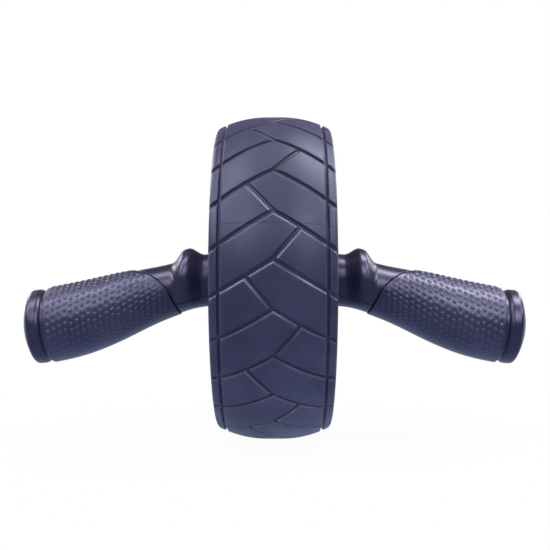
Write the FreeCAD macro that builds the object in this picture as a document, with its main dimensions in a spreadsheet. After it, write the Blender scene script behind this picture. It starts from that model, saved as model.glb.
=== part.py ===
# An ab wheel roller: a wide treaded wheel that turns on a steel axle between two drooping handles.
# A flat spiral spring inside the wheel winds up as it rolls out and helps it back.
# Lengths are in millimetres and angles in degrees. Every piece is drawn about the axle, which runs
# along X, and is then lifted by the wheel's radius, so that the tread stands on Z = 0.
import FreeCAD, Part
import math
import os
import re

import Sketcher
from FreeCAD import Placement, Rotation, Vector

SIZES = {
    # tyre and tread
    "wheel_diameter": 190,
    "tyre_width": 65,
    "tyre_thickness": 17,
    "crown_flat": 8,
    "crown_radius": 62,
    "shoulder_round": 3.5,
    "tread_depth": 1.8,
    "groove_mouth": 2.4,
    "groove_floor": 1.0,
    "ring_groove_reach": 27.25,
    "chevron_pairs": 12,
    "chevron_slope": 31.2,
    "chevron_phase": 4.28,
    "link_reach": 14,
    # rim halves
    "flange_height": 3,
    "flange_thickness": 2.2,
    "flange_inset": 0.5,
    "drum_wall": 4,
    "web_thickness": 4,
    "web_inset": 6.5,
    "hub_inset": 2.5,
    "boss_wall": 8,
    "boss_length": 15,
    "post_count": 6,
    "post_diameter": 9,
    "post_inset": 3.6,
    "rim_screw_diameter": 3.5,
    "rim_screw_head": 6.4,
    "rim_screw_head_height": 2.4,
    "rim_screw_reach": 15,
    # side covers
    "cover_thickness": 2.2,
    "cover_inset": 3.2,
    "cover_bead": 1.2,
    "cover_bead_width": 6,
    "cover_foot": 3,
    "panel_count": 10,
    "panel_depth": 0.9,
    "panel_margin": 7,
    "panel_gap": 5,
    # axle, bushes and washers
    "axle_diameter": 14,
    "axle_chamfer": 1,
    "bush_wall": 3,
    "bush_flange_width": 3,
    "bush_flange_thickness": 1.5,
    "washer_width": 7,
    "washer_thickness": 1,
    # return spring
    "arbor_wall": 5,
    "arbor_pin_diameter": 4,
    "spring_strip": 1.2,
    "spring_side_gap": 3,
    "spring_turns": 6,
    "spring_tang": 3,
    "hook_wrap": 220,
    "anchor_pin_diameter": 6,
    "anchor_margin": 1.5,
    "anchor_turn": 48.6,
    # handle: the distance from one section to the next, and each section's drop under the axle
    "saddle_span": 13.1,
    "waist_span": 14,
    "throat_span": 10,
    "swell_span": 18,
    "palm_span": 18,
    "bulge_span": 14,
    "heel_span": 13.5,
    "root_drop": 0.9,
    "saddle_drop": 2.2,
    "waist_drop": 6.5,
    "throat_drop": 9.7,
    "swell_drop": 15.7,
    "palm_drop": 21.7,
    "bulge_drop": 25.4,
    "heel_drop": 28.2,
    "end_tilt": 5,
    # handle girth: the neck's wall over the axle, and each later section's gain over the neck
    "neck_wall": 8.7,
    "throat_gain": 0.8,
    "swell_gain": 3.4,
    "palm_gain": 5.2,
    "bulge_gain": 5.9,
    "heel_gain": 5.95,
    # finger stop on top of the neck
    "stop_inset": 8.6,
    "stop_rise": 10,
    "stop_crest": 2,
    "stop_fall": 7,
    "stop_height": 5.8,
    # handle pieces
    "socket_depth": 25,
    "shell_wall": 3,
    "hollow_inset": 4,
    "grip_thickness": 2.2,
    "grip_step": 0.75,
    "seam_gap": 0.3,
    "seam_top_reach": 25,
    "seam_knee_reach": 2,
    "seam_knee_drop": 2,
    "seam_toe_reach": 9,
    "seam_bow": 30,
    "parting_drop": 0.7,
    "parting_slope": 14.8,
    "handle_pin_diameter": 5,
    "handle_pin_reach": 12,
    "handle_pin_bite": 3.5,
    "handle_screw_diameter": 3.5,
    "handle_screw_head": 6.4,
    "handle_screw_head_height": 2,
    "handle_screw_seat": 1.6,
    "handle_screw_reach": 8,
    "handle_screw_inset": 6.5,
    # end caps
    "end_band": 2,
    "cap_length": 13.5,
    "cap_girth_gain": 1.9,
    "cap_flare": 3.5,
    "cap_land": 2.5,
    "cap_edge_round": 2.5,
    "cap_edge_turn": 60,
    "cap_wall": 2.5,
    "spigot_length": 7,
    "spigot_shoulder": 2.2,
    # clearances
    "fit_clearance": 0.05,
    "running_clearance": 0.05,
    "side_play": 0.3,
    "loose_clearance": 0.4,
}

# Places along the axle, from the wheel's middle outwards.
TYRE_SIDE = "(tyre_width / 2)"
FLANGE_FACE = f"({TYRE_SIDE} - flange_inset)"
FLANGE_BACK = f"({FLANGE_FACE} - flange_thickness)"
WEB_FACE = f"({TYRE_SIDE} - web_inset)"
WEB_BACK = f"({WEB_FACE} - web_thickness)"
HUB_FACE = f"({TYRE_SIDE} - hub_inset)"
BOSS_BACK = f"({HUB_FACE} - boss_length)"
BUSH_FACE = f"({HUB_FACE} + bush_flange_thickness)"
WASHER_BACK = f"({BUSH_FACE} + side_play)"
WASHER_FACE = f"({WASHER_BACK} + washer_thickness)"
HANDLE_ROOT = f"({WASHER_FACE} + fit_clearance)"
AXLE_END = f"({HANDLE_ROOT} + socket_depth)"
SPRING_SIDE = f"({BOSS_BACK} - spring_side_gap)"

# Radii about the axle.
TREAD_RADIUS = "(wheel_diameter / 2)"
RIM_SEAT = f"({TREAD_RADIUS} - tyre_thickness)"
FLANGE_RADIUS = f"({RIM_SEAT} + flange_height)"
DRUM_INSIDE = f"({RIM_SEAT} - drum_wall)"
AXLE_RADIUS = "(axle_diameter / 2)"
BUSH_BORE = f"({AXLE_RADIUS} + running_clearance)"
BUSH_RADIUS = f"({BUSH_BORE} + bush_wall)"
BUSH_SEAT = f"({BUSH_RADIUS} + fit_clearance)"
BOSS_RADIUS = f"({BUSH_SEAT} + boss_wall)"
POST_RING = f"({DRUM_INSIDE} - post_inset)"
SOCKET_RADIUS = f"({AXLE_RADIUS} + fit_clearance)"
ARBOR_RADIUS = f"({SOCKET_RADIUS} + arbor_wall)"
COIL_START = f"({ARBOR_RADIUS} + loose_clearance + spring_strip / 2)"
HOOK_RADIUS = "(anchor_pin_diameter / 2 + loose_clearance + spring_strip / 2)"
ANCHOR_RING = f"({DRUM_INSIDE} - anchor_margin - {HOOK_RADIUS} - spring_strip / 2)"
ANCHOR_BACK = f"({ANCHOR_RING} * cos(anchor_turn))"
ANCHOR_DOWN = f"({ANCHOR_RING} * sin(anchor_turn))"
COIL_END = f"({ANCHOR_RING} - {HOOK_RADIUS})"
NECK_RADIUS = f"({AXLE_RADIUS} + neck_wall)"

# The handle's sections in order, from the wheel outwards.
SECTIONS = ["root", "saddle", "waist", "throat", "swell", "palm", "bulge", "heel"]

# Construction only: the reach of a parting block, the spacing of the rings that a handle is drawn
# through and the degree of its surface between them, and how far the neck is drawn inside its root
# before it is trimmed there.
CLEAR_OF_HANDLE = 60
NECK_SPACING = 2
GRIP_SPACING = 8
SURFACE_DEGREE = 3
NECK_RUN_IN = 12


def reach(section):
    """Distance of a handle section from the wheel's middle."""
    spans = [f"{name}_span" for name in SECTIONS[1 : SECTIONS.index(section) + 1]]
    return "(" + " + ".join([HANDLE_ROOT] + spans) + ")"


def linked(formula):
    """A formula in size names, written as an expression on the sheet."""
    return re.sub(r"[a-z_]+", lambda word: f"sizes.{word[0]}" if word[0] in SIZES else word[0], formula)


def number(formula):
    """The value of a formula in size names."""
    return float(sheet.evalExpression(linked(str(formula))))


def bind(thing, path, formula):
    """Tie one property of an object to the sheet."""
    thing.setExpression(path, linked(str(formula)))


def lift(thing):
    """Raise a finished piece from the axle's frame to the floor's."""
    bind(thing, "Placement.Base.z", TREAD_RADIUS)
    return thing


# Sketches and the bodies made from them

def new_body(name):
    return document.addObject("PartDesign::Body", name)


def origin(body, role):
    return next(feature for feature in body.Origin.OriginFeatures if feature.Role == role)


def new_sketch(body, plane, offset=None):
    sketch = body.newObject("Sketcher::SketchObject", f"{body.Name}_sketch")
    sketch.AttachmentSupport = (origin(body, plane), "")
    sketch.MapMode = "FlatFace"
    if offset:
        sketch.AttachmentOffset = offset
    return sketch


def pin_point(sketch, edge, end, formulas):
    """Hold one end of an edge at a place given by two formulas."""
    for kind, axis, formula in zip(("DistanceX", "DistanceY"), (-2, -1), formulas):
        value = number(formula)
        if abs(value) < 1e-9:
            sketch.addConstraint(Sketcher.Constraint("PointOnObject", edge, end, axis))
            continue
        away = (-1, 1, edge, end) if value > 0 else (edge, end, -1, 1)
        index = sketch.addConstraint(Sketcher.Constraint(kind, *away, abs(value)))
        bind(sketch, f"Constraints[{index}]", formula if value > 0 else f"-({formula})")


def bowed_edge(start, finish, radius, turn):
    """An arc from start to finish. A positive turn goes anticlockwise, a negative one clockwise."""
    first, last = (start, finish) if turn > 0 else (finish, start)
    chord = last - first
    height = math.sqrt(radius ** 2 - (chord.Length / 2) ** 2)
    left = Vector(-chord.y, chord.x, 0).normalize()
    centre = first + chord * 0.5 + left * height
    angles = [math.atan2(point.y - centre.y, point.x - centre.x) for point in (first, last)]
    return Part.ArcOfCircle(Part.Circle(centre, Vector(0, 0, 1), radius), *angles)


def draw_outline(sketch, corners, bows=None):
    """Draw a closed outline. bows gives, for an edge by its first corner, a radius and a turn."""
    bows = bows or {}
    points = [Vector(number(across), number(up), 0) for across, up in corners]
    first_edge = sketch.GeometryCount
    ends = []
    for index, start in enumerate(points):
        finish = points[(index + 1) % len(points)]
        if index in bows:
            radius, turn = bows[index]
            sketch.addGeometry(bowed_edge(start, finish, number(radius), turn))
            ends.append((1, 2) if turn > 0 else (2, 1))
        else:
            sketch.addGeometry(Part.LineSegment(start, finish))
            ends.append((1, 2))
    for index, corner in enumerate(corners):
        edge = first_edge + index
        before = first_edge + (index - 1) % len(corners)
        joint = (before, ends[index - 1][1], edge, ends[index][0])
        sketch.addConstraint(Sketcher.Constraint("Coincident", *joint))
        pin_point(sketch, edge, ends[index][0], corner)
    for index, (radius, _) in bows.items():
        edge = first_edge + index
        constraint = sketch.addConstraint(Sketcher.Constraint("Radius", edge, number(radius)))
        bind(sketch, f"Constraints[{constraint}]", radius)


def draw_circle(sketch, across, up, radius):
    centre = Vector(number(across), number(up), 0)
    edge = sketch.addGeometry(Part.Circle(centre, Vector(0, 0, 1), number(radius)))
    pin_point(sketch, edge, 3, (across, up))
    constraint = sketch.addConstraint(Sketcher.Constraint("Radius", edge, number(radius)))
    bind(sketch, f"Constraints[{constraint}]", radius)


def feature(body, kind, sketch, **settings):
    """Add one sketched feature to a body. Text settings are formulas, the others plain values."""
    made = body.newObject(f"PartDesign::{kind}", f"{body.Name}_{kind.lower()}")
    made.Profile = sketch
    for name, value in settings.items():
        if isinstance(value, str) and name != "Type":
            bind(made, name, value)
        else:
            setattr(made, name, value)
    return made


def repeat(body, originals, count):
    """Repeat features evenly about the axle."""
    pattern = body.newObject("PartDesign::PolarPattern", f"{body.Name}_pattern")
    pattern.Originals = originals
    pattern.Axis = (origin(body, "X_Axis"), [""])
    pattern.Angle = 360
    bind(pattern, "Occurrences", count)
    body.Tip = pattern
    return pattern


def turned(name, corners, bows=None, offset=None):
    """A body of revolution about X, or about a line above it."""
    body = new_body(name)
    sketch = new_sketch(body, "XZ_Plane", offset)
    draw_outline(sketch, corners, bows)
    feature(body, "Revolution", sketch, Angle=360, ReferenceAxis=(sketch, ["H_Axis"]))
    return body


def slab(name, corners, bows=None):
    """A block with a side outline in X and Z, wider than a handle, to part pieces with."""
    body = new_body(name)
    sketch = new_sketch(body, "XZ_Plane")
    draw_outline(sketch, corners, bows)
    feature(body, "Pad", sketch, Length=2 * CLEAR_OF_HANDLE, Midplane=True)
    return body


# Solids joined, cut and mirrored

def rod(name, radius, length, place, axis=Vector(0, 0, 1)):
    """A cylinder that starts at a place given by three formulas and runs along an axis."""
    made = document.addObject("Part::Cylinder", name)
    bind(made, "Radius", radius)
    bind(made, "Height", length)
    made.Placement = Placement(Vector(), Rotation(Vector(0, 0, 1), axis))
    for letter, formula in zip("xyz", place):
        bind(made, f"Placement.Base.{letter}", formula)
    return made


def joined(name, pieces):
    made = document.addObject("Part::MultiFuse", name)
    made.Shapes = pieces
    return made


def cut(name, base, *tools):
    made = document.addObject("Part::Cut", name)
    made.Base = base
    made.Tool = tools[0] if len(tools) == 1 else joined(f"{name}_tools", list(tools))
    return made


def common(name, base, tool):
    made = document.addObject("Part::Common", name)
    made.Base = base
    made.Tool = tool
    return made


def mirrored(name, source):
    """The left-hand twin of a right-hand piece."""
    made = document.addObject("Part::Mirroring", name)
    made.Source = source
    made.Normal = Vector(1, 0, 0)
    return made


def on_side(side, formula):
    return formula if side > 0 else f"-({formula})"


# Tyre

def crown_height(across):
    """Radius of the tread at a distance from the wheel's middle, as a formula."""
    return f"({TREAD_RADIUS} - crown_radius + sqrt(crown_radius ^ 2 - ({across} - crown_flat / 2) ^ 2))"


def groove_section(middle, surface):
    """Corners of a groove that narrows to its floor, drawn past the surface that it cuts."""
    flare = "(groove_mouth - groove_floor) / 2 / tread_depth"
    mouth = f"(groove_mouth / 2 + tread_depth * {flare})"
    return [
        (f"{middle} - groove_floor / 2", f"{surface} - tread_depth"),
        (f"{middle} + groove_floor / 2", f"{surface} - tread_depth"),
        (f"{middle} + {mouth}", f"{surface} + tread_depth"),
        (f"{middle} - {mouth}", f"{surface} + tread_depth"),
    ]


def tread_point(across, angle):
    """A point on the tread. The angle runs down the front of the wheel from the axle's height."""
    flat = number("crown_flat / 2")
    radius = number(crown_height(abs(across))) if abs(across) > flat else number(TREAD_RADIUS)
    turn = math.radians(angle)
    return Vector(across, -radius * math.cos(turn), -radius * math.sin(turn))


def tread_groove(body, start, finish):
    """Cut one groove that follows the crown between two places, each a width and an angle."""
    middle = [(a + b) / 2 for a, b in zip(start, finish)]
    first, top, last = (tread_point(*place) for place in (start, middle, finish))
    chord_middle = (first + last) * 0.5
    rise = top - chord_middle
    half_chord = (last - first).Length / 2
    bend = (half_chord ** 2 + rise.Length ** 2) / (2 * rise.Length)
    outward = rise.normalize()
    along = (last - first).normalize()
    sideways = outward.cross(along)
    turn = Rotation(sideways, outward, along, "YXZ")
    sketch = new_sketch(body, "XY_Plane", Placement(top - outward * bend, turn))
    draw_outline(sketch, groove_section("0", str(bend)))
    sweep = 2 * math.degrees(math.asin(half_chord / bend)) + math.degrees(number("groove_floor") / bend)
    return feature(body, "Groove", sketch, Angle=sweep, Midplane=True, ReferenceAxis=(sketch, ["H_Axis"]))


def make_tyre():
    step = f"({FLANGE_RADIUS} + fit_clearance)"
    seat_side = f"({FLANGE_BACK} - fit_clearance)"
    seat = f"({RIM_SEAT} + fit_clearance)"
    half = [
        ("crown_flat / 2", TREAD_RADIUS),
        (TYRE_SIDE, crown_height(TYRE_SIDE)),
        (TYRE_SIDE, step),
        (seat_side, step),
        (seat_side, seat),
    ]
    corners = half + [(on_side(-1, across), up) for across, up in reversed(half)]
    body = turned("tyre", corners, {0: ("crown_radius", -1), len(corners) - 2: ("crown_radius", -1)})
    document.recompute()

    revolved = body.Tip
    side = number(TYRE_SIDE)
    edge_radius = number(crown_height(TYRE_SIDE))
    shoulders = [
        f"Edge{index}"
        for index, edge in enumerate(revolved.Shape.Edges, start=1)
        if isinstance(edge.Curve, Part.Circle)
        and abs(edge.Curve.Radius - edge_radius) < 1e-3
        and abs(abs(edge.Curve.Center.x) - side) < 1e-3
    ]
    rounding = body.newObject("PartDesign::Fillet", "tyre_shoulders")
    rounding.Base = (revolved, shoulders)
    bind(rounding, "Radius", "shoulder_round")
    for hand in (1, -1):
        sketch = new_sketch(body, "XZ_Plane")
        ring = groove_section("ring_groove_reach", crown_height("ring_groove_reach"))
        draw_outline(sketch, [(on_side(hand, across), up) for across, up in ring])
        feature(body, "Groove", sketch, Angle=360, ReferenceAxis=(sketch, ["H_Axis"]))

    pitch = 180 / number("chevron_pairs")
    apex = -number("chevron_phase")
    per_width = math.degrees(math.tan(math.radians(number("chevron_slope"))) / number(TREAD_RADIUS))
    shoulder = side + number("tread_depth")
    link = number("link_reach")
    link_rise = pitch - link * per_width
    foot = apex + shoulder * per_width
    arms = [tread_groove(body, (0, apex), (hand * shoulder, foot)) for hand in (1, -1)]
    repeat(body, arms, "2 * chevron_pairs")
    for hand, first in ((1, apex), (-1, apex + pitch)):
        groove = tread_groove(body, (0, first), (hand * link, first - link_rise))
        repeat(body, [groove], "chevron_pairs")
    return lift(body)


# Rim halves, their screws and the side covers

def make_rim(name, side):
    half = [
        ("0", DRUM_INSIDE),
        (WEB_BACK, DRUM_INSIDE),
        (WEB_BACK, BOSS_RADIUS),
        (BOSS_BACK, BOSS_RADIUS),
        (BOSS_BACK, BUSH_SEAT),
        (HUB_FACE, BUSH_SEAT),
        (HUB_FACE, BOSS_RADIUS),
        (WEB_FACE, BOSS_RADIUS),
        (WEB_FACE, DRUM_INSIDE),
        (FLANGE_FACE, DRUM_INSIDE),
        (FLANGE_FACE, FLANGE_RADIUS),
        (FLANGE_BACK, FLANGE_RADIUS),
        (FLANGE_BACK, RIM_SEAT),
        ("0", RIM_SEAT),
    ]
    body = turned(name, [(on_side(side, across), up) for across, up in half])
    outward = side > 0

    post = new_sketch(body, "YZ_Plane")
    draw_circle(post, "0", POST_RING, "post_diameter / 2")
    length = f"{WEB_BACK} + web_thickness / 2"
    posts = repeat(body, [feature(body, "Pad", post, Length=length, Reversed=not outward)], "post_count")
    document.recompute()

    hole = new_sketch(body, "YZ_Plane")
    draw_circle(hole, "0", POST_RING, "rim_screw_diameter / 2 + fit_clearance")
    depth = f"{WEB_FACE} + post_diameter" if outward else "rim_screw_reach + loose_clearance"
    drills = [feature(body, "Pocket", hole, Length=depth, Reversed=outward)]
    if outward:
        recess = new_sketch(body, "YZ_Plane")
        bind(recess, "AttachmentOffset.Base.z", f"{WEB_FACE} - rim_screw_head_height - fit_clearance")
        draw_circle(recess, "0", POST_RING, "rim_screw_head / 2 + fit_clearance")
        drills.append(feature(body, "Pocket", recess, Length="web_inset", Reversed=True))
    repeat(body, drills, "post_count")

    socket = new_sketch(body, "YZ_Plane")
    bind(socket, "AttachmentOffset.Base.z", on_side(side, f"{WEB_BACK} - loose_clearance"))
    draw_circle(socket, ANCHOR_BACK, f"-{ANCHOR_DOWN}", "anchor_pin_diameter / 2 + fit_clearance")
    body.Tip = feature(
        body, "Pocket", socket, Length="web_thickness / 2 + loose_clearance", Reversed=outward
    )
    return lift(body)


def make_rim_screws():
    under_head = f"({WEB_FACE} - rim_screw_head_height)"
    corners = [
        ("-rim_screw_reach", "0"),
        (f"{under_head} + rim_screw_head_height", "0"),
        (f"{under_head} + rim_screw_head_height", "rim_screw_head / 2"),
        (under_head, "rim_screw_head / 2"),
        (under_head, "rim_screw_diameter / 2"),
        ("-rim_screw_reach + rim_screw_diameter / 2", "rim_screw_diameter / 2"),
    ]
    body = new_body("rim_screws")
    body.AllowCompound = True
    sketch = new_sketch(body, "XZ_Plane")
    bind(sketch, "AttachmentOffset.Base.y", POST_RING)
    draw_outline(sketch, corners)
    screw = feature(body, "Revolution", sketch, Angle=360, ReferenceAxis=(sketch, ["H_Axis"]))
    repeat(body, [screw], "post_count")
    return lift(body)


def make_side_cover(name):
    face = f"({TYRE_SIDE} - cover_inset)"
    back = f"({face} - cover_thickness)"
    seat = f"({WEB_FACE} + fit_clearance)"
    inside = f"({BOSS_RADIUS} + loose_clearance)"
    outside = f"({DRUM_INSIDE} - fit_clearance)"
    corners = [
        (back, inside),
        (face, inside),
        (face, f"{outside} - cover_bead_width"),
        (f"{face} + cover_bead", f"{outside} - cover_bead_width + cover_bead"),
        (f"{face} + cover_bead", f"{outside} - cover_bead"),
        (face, outside),
        (seat, outside),
        (seat, f"{outside} - cover_foot"),
        (back, f"{outside} - cover_foot"),
    ]
    body = turned(name, corners)
    document.recompute()

    half_step = "180 / panel_count"
    low = f"({inside} + panel_margin)"
    high = f"({outside} - cover_bead_width - panel_margin / 2)"
    low_half = f"({low} * sin({half_step}) - panel_gap / 2)"
    high_half = f"({high} * sin({half_step}) - panel_gap / 2)"
    panel = new_sketch(body, "YZ_Plane")
    bind(panel, "AttachmentOffset.Base.z", f"{face} - panel_depth")
    draw_outline(
        panel, [(f"-{low_half}", low), (low_half, low), (high_half, high), (f"-{high_half}", high)]
    )
    recess = feature(body, "Pocket", panel, Length="panel_depth + cover_bead", Reversed=True)
    repeat(body, [recess], "panel_count")
    return lift(body)


# Axle, bushes, washers and the return spring

def make_bush(name):
    flange = f"({BUSH_RADIUS} + bush_flange_width)"
    corners = [
        (BOSS_BACK, BUSH_BORE),
        (BUSH_FACE, BUSH_BORE),
        (BUSH_FACE, flange),
        (f"{HUB_FACE} + fit_clearance", flange),
        (f"{HUB_FACE} + fit_clearance", BUSH_RADIUS),
        (BOSS_BACK, BUSH_RADIUS),
    ]
    return lift(turned(name, corners))


def make_washer(name):
    rim = f"({SOCKET_RADIUS} + washer_width)"
    corners = [
        (WASHER_BACK, SOCKET_RADIUS),
        (WASHER_FACE, SOCKET_RADIUS),
        (WASHER_FACE, rim),
        (WASHER_BACK, rim),
    ]
    return lift(turned(name, corners))


def handle_pin_place():
    """Where the cross pin starts under the axle, just above the parting plane all round."""
    across = f"({HANDLE_ROOT} + handle_pin_reach)"
    inner_edge = f"({across} - handle_pin_diameter / 2)"
    return across, f"({parting_height(inner_edge)} + loose_clearance)"


def make_axle():
    half = [
        (AXLE_END, "0"),
        (AXLE_END, f"{AXLE_RADIUS} - axle_chamfer"),
        (f"{AXLE_END} - axle_chamfer", AXLE_RADIUS),
    ]
    bar = turned("axle_bar", half + [(on_side(-1, across), up) for across, up in reversed(half)])
    across, _ = handle_pin_place()
    wide = "handle_pin_diameter / 2 + fit_clearance"
    low = "-axle_diameter"
    holes = [
        rod(f"axle_hole_{index}", radius, "2 * axle_diameter", (place, "0", low))
        for index, (place, radius) in enumerate(
            [(across, wide), (on_side(-1, across), wide), ("0", "arbor_pin_diameter / 2 + fit_clearance")]
        )
    ]
    return lift(cut("axle", bar, *holes))


def hanging_turn():
    """Turn of the spring about the axle, at which the roller's heavy side hangs straight down."""
    return Rotation(Vector(1, 0, 0), -number("anchor_turn"))


def make_arbor():
    end = f"({SPRING_SIDE} + loose_clearance)"
    ring = [(end, SOCKET_RADIUS), (end, ARBOR_RADIUS)]
    ring += [(on_side(-1, across), up) for across, up in reversed(ring)]
    sleeve = turned("arbor_sleeve", ring)
    pin_hole = rod(
        "arbor_pin_hole",
        "arbor_pin_diameter / 2 + fit_clearance",
        f"4 * {ARBOR_RADIUS}",
        ("0", "0", f"-2 * {ARBOR_RADIUS}"),
    )
    inner = f"({ARBOR_RADIUS} - spring_tang - loose_clearance)"
    under = "(spring_strip / 2 + loose_clearance)"
    slot = document.addObject("Part::Box", "arbor_slot")
    bind(slot, "Length", f"4 * {end}")
    bind(slot, "Width", f"{ARBOR_RADIUS}")
    bind(slot, "Height", "spring_strip + 2 * loose_clearance")
    slot.Placement = Placement(Vector(), hanging_turn())
    bind(slot, "Placement.Base.x", f"-2 * {end}")
    bind(slot, "Placement.Base.y", f"{inner} * cos(anchor_turn) - {under} * sin(anchor_turn)")
    bind(slot, "Placement.Base.z", f"-{under} * cos(anchor_turn) - {inner} * sin(anchor_turn)")
    return lift(cut("spring_arbor", sleeve, pin_hole, slot))


def make_arbor_pin():
    length = f"2 * ({ARBOR_RADIUS} - fit_clearance)"
    low = f"-({ARBOR_RADIUS} - fit_clearance)"
    place = ("0", "0", f"{low} + {TREAD_RADIUS}")
    return rod("arbor_pin", "arbor_pin_diameter / 2", length, place)


def make_anchor_pin():
    end = f"({WEB_BACK} + web_thickness / 2 - fit_clearance)"
    place = (f"-{end}", ANCHOR_BACK, f"{TREAD_RADIUS} - {ANCHOR_DOWN}")
    return rod("spring_anchor_pin", "anchor_pin_diameter / 2", f"2 * {end}", place, Vector(1, 0, 0))


def strip(centre, radius, start, finish):
    """A piece of the spring's edge-on outline: a ring sector about a centre, from angle to angle."""
    half = number("spring_strip") / 2
    arcs = []
    for edge in (radius - half, radius + half):
        circle = Part.Circle(centre, Vector(1, 0, 0), edge)
        circle.XAxis = Vector(0, 1, 0)
        arcs.append(Part.ArcOfCircle(circle, math.radians(start), math.radians(finish)))
    inner, outer = arcs
    far_end = Part.LineSegment(inner.EndPoint, outer.EndPoint)
    near_end = Part.LineSegment(outer.StartPoint, inner.StartPoint)
    edges = [side.toShape() for side in (inner, far_end, outer, near_end)]
    return Part.Face(Part.Wire(Part.__sortEdges__(edges)))


def make_spring():
    """A spiral of half turns about two centres, from a tang in the arbor to a hook on the anchor pin."""
    first = number(COIL_START)
    half_turns = 2 * int(number("spring_turns"))
    growth = (number(COIL_END) - first) / half_turns
    sectors = []
    radius = first + growth / 2
    for index in range(half_turns):
        outward = index % 2 == 0
        centre = Vector(0, -growth / 2 if outward else growth / 2, 0)
        start = 0 if outward else 180
        sectors.append(strip(centre, radius, start, start + 180))
        radius += growth
    hook_centre = Vector(0, number(ANCHOR_RING), 0)
    sectors.append(strip(hook_centre, number(HOOK_RADIUS), 180 - number("hook_wrap"), 180))
    half = number("spring_strip") / 2
    tang_start = number(f"{ARBOR_RADIUS} - spring_tang")
    width = number(f"2 * {SPRING_SIDE}")
    tang = Part.makeBox(width, first - tang_start, 2 * half, Vector(0, tang_start, -half))
    coils = [sector.extrude(Vector(width, 0, 0)) for sector in sectors]
    made = document.addObject("Part::Feature", "return_spring")
    made.Shape = tang.multiFuse(coils).removeSplitter()
    made.Placement = Placement(Vector(-width / 2, 0, number(TREAD_RADIUS)), hanging_turn())
    return made


# Handles

def parting_height(across):
    """Height of the plane that parts a handle's shell from its lower cover."""
    return f"(-parting_drop - {across} * tan(parting_slope))"


def handle_line(values):
    """A smooth line through one value at each section, read by the distance along X."""
    places = [number(reach(section)) for section in SECTIONS]
    line = Part.BSplineCurve()
    points = [Vector(place, number(value), 0) for place, value in zip(places, values)]
    line.interpolate(Points=points, Parameters=places)
    return lambda across: line.value(max(across, places[0])).y


def smooth_step(share):
    share = min(max(share, 0), 1)
    return share * share * (3 - 2 * share)


def finger_stop(across):
    """Height of the finger stop over the neck."""
    start = number(f"{HANDLE_ROOT} + stop_inset")
    crest = start + number("stop_rise")
    fall = crest + number("stop_crest")
    rising = smooth_step((across - start) / number("stop_rise"))
    return number("stop_height") * (rising - smooth_step((across - fall) / number("stop_fall")))


class HandleShape:
    """The handle's centre line and girth, and solids that follow them."""

    def __init__(self):
        self.root = number(HANDLE_ROOT)
        self.heel = number(reach("heel"))
        self.end = self.heel + number("end_band")
        self.drop = handle_line([f"{section}_drop" for section in SECTIONS])
        gains = [f"{section}_gain" if f"{section}_gain" in SIZES else "0" for section in SECTIONS]
        self.girth = handle_line([f"{NECK_RADIUS} + {gain}" for gain in gains])

    def tilt(self, across):
        """Lean of a section, which grows evenly from the root to the heel."""
        return number("end_tilt") * (across - self.root) / (self.heel - self.root)

    def section(self, across, gain, stop):
        """One round section. The finger stop raises its top and leaves its bottom in place."""
        lean = math.radians(self.tilt(across))
        middle = Vector(across, 0, stop / 2 - self.drop(across))
        facing = Vector(math.cos(lean), 0, -math.sin(lean))
        circle = Part.Circle(middle, facing, self.girth(across) + gain + stop / 2)
        circle.XAxis = Vector(math.sin(lean), 0, math.cos(lean))
        return Part.Wire([circle.toShape()])

    def form(self, name, start, finish, spacing, gain=0.0, stop=lambda across: 0.0):
        """A smooth solid through evenly spaced sections."""
        count = math.ceil((finish - start) / spacing)
        places = [start + (finish - start) * index / count for index in range(count + 1)]
        made = document.addObject("Part::Feature", name)
        wires = [self.section(across, gain, stop(across)) for across in places]
        made.Shape = Part.makeLoft(wires, True, False, False, SURFACE_DEGREE)
        return made

    def place(self, inward=0.0):
        """A place on the centre line at the handle's end, or short of it, facing outwards."""
        lean = self.tilt(self.end)
        back = Vector(math.cos(math.radians(lean)), 0, -math.sin(math.radians(lean))) * inward
        middle = Vector(self.end, 0, -self.drop(self.end)) - back
        return Placement(middle, Rotation(Vector(0, 1, 0), lean))


def seam_block(name, shift):
    """Everything on the wheel's side of the curved seam between the neck and the grip."""
    waist = reach("waist")
    top = f"({waist} + seam_top_reach + {shift})"
    knee = f"({waist} + seam_knee_reach + {shift})"
    toe = f"({waist} - seam_toe_reach + {shift})"
    top_height = f"(-swell_drop + {NECK_RADIUS} + swell_gain + 2 * grip_step)"
    knee_height = "(-waist_drop - seam_knee_drop)"
    toe_height = f"(-swell_drop - {NECK_RADIUS})"
    far = f"-{CLEAR_OF_HANDLE}"
    corners = [
        (HANDLE_ROOT, str(CLEAR_OF_HANDLE)),
        (HANDLE_ROOT, far),
        (toe, far),
        (toe, toe_height),
        (knee, knee_height),
        (top, top_height),
        (f"{top} + seam_toe_reach", str(CLEAR_OF_HANDLE)),
    ]
    return slab(name, corners, {4: ("seam_bow", -1)})


def parting_block(name, gap):
    """Everything under a handle's parting plane."""
    far = f"({reach('heel')} + cap_length)"
    corners = [
        ("0", f"-parting_drop - {gap}"),
        ("0", f"-2 * {CLEAR_OF_HANDLE}"),
        (far, f"-2 * {CLEAR_OF_HANDLE}"),
        (far, f"{parting_height(far)} - {gap}"),
    ]
    return slab(name, corners)


def make_handle_pin():
    """The cross pin that holds a handle on the axle, and the blind hole for it."""
    across, low = handle_pin_place()
    length = f"({AXLE_RADIUS} + handle_pin_bite - {low})"
    place = (across, "0", f"{low} + {TREAD_RADIUS}")
    pin = rod("handle_pin_right", "handle_pin_diameter / 2", length, place)
    hole = rod(
        "handle_pin_hole",
        "handle_pin_diameter / 2 + fit_clearance",
        f"{length} + axle_diameter + fit_clearance",
        (across, "0", f"{low} - axle_diameter"),
    )
    return pin, hole


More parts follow.
